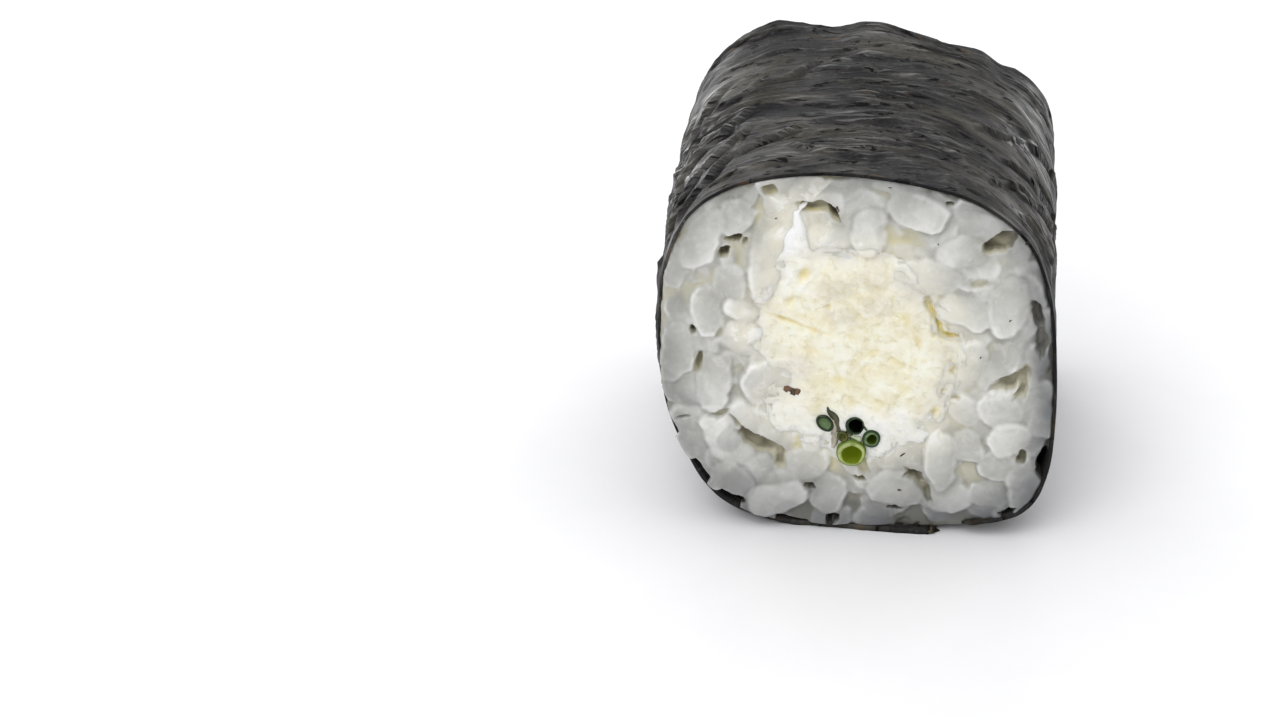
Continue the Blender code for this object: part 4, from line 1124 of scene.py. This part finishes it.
def chive_finish(name, kind):
    *tones, green_share = CHIVE_TONES[kind]
    skin, flesh, lining, glow = (colour(*tone) for tone in tones)
    finish = Finish(name, Subsurface_Weight=0.25, Subsurface_Radius=(0.5, 1.0, 0.25),
                    Subsurface_Scale=0.0005, Coat_Roughness=0.08, Specular_IOR_Level=0.25, IOR=1.4,
                    Emission_Strength=1.0)
    place = finish.place()
    through = finish.painted("through")
    inside = finish.painted("inside")
    veins = finish.noise(place, (2600.0, 160.0, 2600.0), 3.0, 0.6)
    mottle = finish.noise(place, 1500.0, 2.0, 0.5)
    body = finish.mix((through + 0.25 * mottle - 0.12).step(green_share, green_share + 0.3), skin, flesh)
    body = finish.mix(finish.noise(place, 1100.0, 2.0, 0.5).step(0.46, 0.58) * 0.5, body, skin)
    body = finish.mix(inside, body, lining)
    body = finish.mix(veins.step(0.45, 0.7) * 0.3, body, skin)
    # painted light: the lining glows with the light that comes through the thin wall
    return finish.feed(Base_Color=body, Roughness=0.22 + 0.2 * veins, Coat_Weight=0.10 + 0.30 * veins,
                       Emission_Color=finish.mix(inside, colour(0, 0, 0), glow),
                       Normal=finish.bump(veins, 0.00004, 0.6))


def chive_leaf(name):
    """A tube whose profile runs along the skin, over the cut rim and back down the lining."""
    wall, kind = CHIVES[name][2] * MM, CHIVES[name][5]
    profile = [(row / CHIVE_ROWS, 0.0, 0.0) for row in range(CHIVE_ROWS + 1)]     # along, through, inside
    profile += [(1.0, share, 0.0) for share in RIM_STEPS]
    if kind in SHUT:
        profile += [(1.0, 1.0, 1.0), (0.0, 1.0, 1.0)]
    else:
        profile += [(row / CHIVE_ROWS, 1.0, 1.0) for row in range(CHIVE_ROWS, -1, -1)]
    profile += [(0.0, share, 0.0) for share in reversed(RIM_STEPS)]
    places, through, inside = [], [], []
    for along, share, lined in profile:
        ring = leaf_ring(name, along, wall * share) + share * wall * np.array(BORE_SHIFT.get(kind, (0, 0)))
        end = np.sign(along - 0.5) if along in (0.0, 1.0) else 0.0
        proud = CHIVE_PROUD + RIM_ROUNDING * math.sin(math.pi * share)
        if lined and kind in SHUT:
            proud -= SHUT_DEPTH
        tatter = 0.05 * MM * wanders(np.column_stack([ring, ring[:, 0] * 0]), 0.5 * MM)
        y = (along - 0.5) * LENGTH + end * (proud + tatter)
        places.append(np.column_stack([ring[:, 0], y + np.zeros(CHIVE_SIDES), ring[:, 1]]))
        through += [share] * CHIVE_SIDES
        inside += [lined] * CHIVE_SIDES
    rows = len(profile)
    faces = []
    for row in range(rows):
        here, below = row * CHIVE_SIDES, (row + 1) % rows * CHIVE_SIDES
        shut_end = kind in SHUT and profile[row][2] and profile[(row + 1) % rows][2]
        if shut_end:
            faces.append(tuple(range(here, here + CHIVE_SIDES)))
            faces.append(tuple(range(below, below + CHIVE_SIDES)))
            continue
        for side in range(CHIVE_SIDES):
            following = (side + 1) % CHIVE_SIDES
            faces.append((here + side, here + following, below + following, below + side))
    leaf = make_piece(name + "_leaf", np.vstack(places), faces)
    paint(leaf, "through", through)
    paint(leaf, "inside", inside)
    return dress_piece(leaf, chive_finish(name, kind), name)


for name in CHIVES:
    chive_leaf(name)

settled = bpy.context.evaluated_depsgraph_get()
cut_faces = [BVHTree.FromObject(piece, settled) for piece in (rice_front, cheese)]


def on_front_cut(x, z):
    """The Y of whatever lies foremost on the front cut at a place."""
    start, ahead = Vector((x, -LENGTH, z)), Vector((0, 1, 0))
    hits = [tree.ray_cast(start, ahead)[0] for tree in cut_faces]
    return min([hit.y for hit in hits if hit] or [-LENGTH / 2])


def lay_flakes(name, flakes, thick):
    """Thin flakes on the cut, each a row of left and right edges, with a raised middle and a rounded back."""
    places, faces = [], []
    for rows in flakes:
        first = len(places)
        for left, right in rows:
            middle = (left + right) / 2
            for place, lift in ((left, 0.0), (middle, thick), (right, 0.0), (middle, -thick)):
                places.append((place[0], on_front_cut(*place) - lift, place[1]))
        last = len(places) - POINTS_A_ROW
        for row in range(first, last, POINTS_A_ROW):
            for a, b in ((0, 1), (1, 2), (2, 3), (3, 0)):
                faces.append((row + a, row + b, row + POINTS_A_ROW + b, row + POINTS_A_ROW + a))
        faces.append(tuple(range(first, first + POINTS_A_ROW)))
        faces.append(tuple(reversed(range(last, last + POINTS_A_ROW))))
    return make_piece(name, places, faces)


def smooth_line(points, count):
    """Points evenly numbered along a smooth curve through the given ones."""
    places = np.linspace(0, len(points) - 1, count)
    padded = np.vstack([points[:1], points, points[-1:]])
    index = np.minimum(places.astype(int), len(points) - 2)
    share = (places - index)[:, None]
    before, start, end, after = (padded[index + step] for step in range(4))
    return 0.5 * (2 * start + (end - before) * share + (2 * before - 5 * start + 4 * end - after) * share ** 2
                  + (3 * start - before - 3 * end + after) * share ** 3)


def crushed_strips():
    strips, tints = [], []
    for points, start_tint, end_tint in STRIPS:
        line = smooth_line(np.array(points), STRIP_ROWS)
        along = np.gradient(line[:, :2], axis=0)
        across = np.column_stack([-along[:, 1], along[:, 0]]) / np.linalg.norm(along, axis=1)[:, None]
        strips.append([((place[:2] - side * place[2]) * MM, (place[:2] + side * place[2]) * MM)
                       for place, side in zip(line, across)])
        ends = np.array((colour(*start_tint)[:3], colour(*end_tint)[:3]))
        share = np.repeat(np.linspace(0, 1, STRIP_ROWS), POINTS_A_ROW)[:, None]
        tints.append(ends[0] + (ends[1] - ends[0]) * share)
    piece = lay_flakes("chive_sliver", strips, STRIP_THICK)
    paint(piece, "tint", np.vstack(tints))
    finish = Finish("chive_sliver", Coat_Weight=0.25, Coat_Roughness=0.12)
    tint = finish.painted("tint", "Vector")
    streaks = finish.noise(finish.place(), 1700.0, 3.0, 0.6)
    body = finish.mix(streaks.step(0.40, 0.62) * 0.4, tint, finish.stretched(tint, (1.9, 1.8, 1.9)))
    finish.feed(Base_Color=body, Roughness=0.3 + 0.3 * streaks)
    return dress_piece(piece, finish.material)


crushed_strips()


# ==================== flecks
# Crumbs of nori and leaf that the knife carried over the cut face, and the torn brown end of the sheet
# that shows under the rice.

FLECK_ROWS = 7                  # from end to end of a crumb
FLECK_THICK = 0.05 * MM
FLECKS = [                      # x, z, half length, half width, lean, how brown
    (-5.15, 11.95, 0.32, 0.28, 20, 0.9), (-4.75, 11.75, 0.34, 0.28, 110, 0.30),
    (-4.40, 11.8, 0.30, 0.24, 60, 0.9), (9.0, 15.2, 0.10, 0.07, 60, 0.3),
    (11.05, 18.5, 0.13, 0.06, 40, 0.1), (3.5, 6.7, 0.26, 0.07, 40, 0.1), (3.35, 3.9, 0.16, 0.10, 0, 0.3),
    (-8.3, 8.4, 0.18, 0.10, 120, 0.2), (-1.75, 26.9, 0.30, 0.12, 100, 0.6),
    (12.0, 24.6, 0.20, 0.09, 60, 0.3), (4.2, 0.40, 0.50, 0.20, 172, 0.0), (5.2, 0.33, 0.60, 0.26, 8, 0.0),
    (5.75, 0.40, 0.30, 0.28, 80, 0.06), (4.7, 0.66, 0.25, 0.14, 30, 0.0),
    (2.0, 28.75, 0.14, 0.06, 0, 0.2), (-6.2, 26.0, 0.10, 0.06, 30, 0.3),
    (5.6, 24.4, 0.08, 0.05, 120, 0.5),
]


def flecks():
    outlines, browned = [], []
    chance = random.Random(5)
    for x, z, half_length, half_width, lean, brown in FLECKS:
        angle = math.radians(lean)
        ahead = np.array((math.cos(angle), math.sin(angle)))
        aside = np.array((-ahead[1], ahead[0]))
        rows = []
        for share in np.linspace(-1, 1, FLECK_ROWS):
            reach = half_width * math.sqrt(max(1 - share * share, 0.02))
            left, right = (reach * chance.uniform(0.6, 1.2) for _ in range(2))
            middle = np.array((x, z)) + ahead * share * half_length
            rows.append(((middle - aside * left) * MM, (middle + aside * right) * MM))
        outlines.append(rows)
        browned += [brown] * FLECK_ROWS * POINTS_A_ROW
    piece = lay_flakes("nori_flecks", outlines, FLECK_THICK)
    paint(piece, "browned", browned)
    finish = Finish("nori_flecks")
    specks = finish.noise(finish.place(), 2400.0, 3.0, 0.6)
    body = finish.mix(specks.step(0.4, 0.6), colour(34, 32, 26), colour(70, 62, 40))
    body = finish.mix(finish.painted("browned"), body, colour(116, 86, 58))
    finish.feed(Base_Color=body, Roughness=0.4 + 0.3 * specks)
    return dress_piece(piece, finish.material)


flecks()


# ==================== floor and light
# A plain pale surface that the roll lies on. Soft light comes from all round, most of it from above, and
# low lamps behind make the nori's shoulders shine. The view is from a little above, nearly square to the
# cut.

FLOOR_SIZE = 3.0
SKY_LOW, SKY_HIGH = 0.28, 0.60  # how bright the room is at the horizon and overhead
CAMERA_LENS = 126.56            # millimetres, on a sensor 36 wide
CAMERA_PLACE = (0.00737, -0.30629, 0.17124)
CAMERA_YAW = -0.0801            # radians, from +Y towards +X
CAMERA_DROP = math.radians(28.2)

bpy.ops.mesh.primitive_plane_add(size=FLOOR_SIZE, location=(0.0, 0.0, 0.0))
floor = bpy.context.object
floor.name = "floor"
floor_finish = Finish("floor", Roughness=0.6, Specular_IOR_Level=0.2)
floor_grain = floor_finish.noise(floor_finish.place(), 300.0, 2.0, 0.5)
floor_finish.feed(Base_Color=floor_finish.mix(floor_grain, (0.80, 0.80, 0.82, 1.0), (0.82, 0.82, 0.84, 1.0)))
floor.data.materials.append(floor_finish.material)


def soft_light(name, place, target, size, power):
    lamp = bpy.data.lights.new(name, "AREA")
    lamp.shape = "DISK"
    lamp.size = size
    lamp.energy = power
    holder = bpy.data.objects.new(name, lamp)
    bpy.context.scene.collection.objects.link(holder)
    holder.location = place
    holder.rotation_mode = "QUATERNION"
    holder.rotation_quaternion = (Vector(target) - Vector(place)).to_track_quat("-Z", "Y")


soft_light("over", (-0.04, 0.06, 0.55), (0.0, 0.0, 0.0), 0.9, 2.3)
soft_light("low_behind", (-0.06, 0.50, 0.34), (0.0, 0.0, 0.01), 0.40, 0.50)
soft_light("low_left", (-0.26, 0.40, 0.09), (0.0, 0.0, 0.02), 0.20, 0.60)
soft_light("low_right", (0.30, 0.36, 0.12), (0.0, 0.0, 0.02), 0.20, 0.45)
soft_light("front_left", (-0.16, -0.36, 0.40), (0.0, 0.0, 0.015), 0.40, 1.15)

world = bpy.data.worlds.new("soft_room")
world.use_nodes = True
sky = world.node_tree.nodes["Background"]
sky.inputs["Color"].default_value = (1.0, 1.0, 1.0, 1.0)
ways = world.node_tree.nodes.new("ShaderNodeTexCoord")
height_in_sky = world.node_tree.nodes.new("ShaderNodeSeparateXYZ")
brighter_above = world.node_tree.nodes.new("ShaderNodeMapRange")
brighter_above.inputs["To Min"].default_value = SKY_LOW
brighter_above.inputs["To Max"].default_value = SKY_HIGH
world.node_tree.links.new(ways.outputs["Generated"], height_in_sky.inputs[0])
world.node_tree.links.new(height_in_sky.outputs["Z"], brighter_above.inputs["Value"])
world.node_tree.links.new(brighter_above.outputs["Result"], sky.inputs["Strength"])
bpy.context.scene.world = world
bpy.context.scene.view_settings.view_transform = "Standard"

camera_data = bpy.data.cameras.new("view")
camera_data.lens = CAMERA_LENS
camera_data.sensor_width = 36.0
camera_data.clip_start = 0.01
camera_data.clip_end = 20.0
camera = bpy.data.objects.new("view", camera_data)
bpy.context.scene.collection.objects.link(camera)
camera.location = CAMERA_PLACE
level_reach = math.cos(CAMERA_DROP)
looking = Vector((math.sin(CAMERA_YAW) * level_reach, math.cos(CAMERA_YAW) * level_reach,
                  -math.sin(CAMERA_DROP)))
camera.rotation_mode = "QUATERNION"
camera.rotation_quaternion = looking.to_track_quat("-Z", "Y")
bpy.context.scene.camera = camera
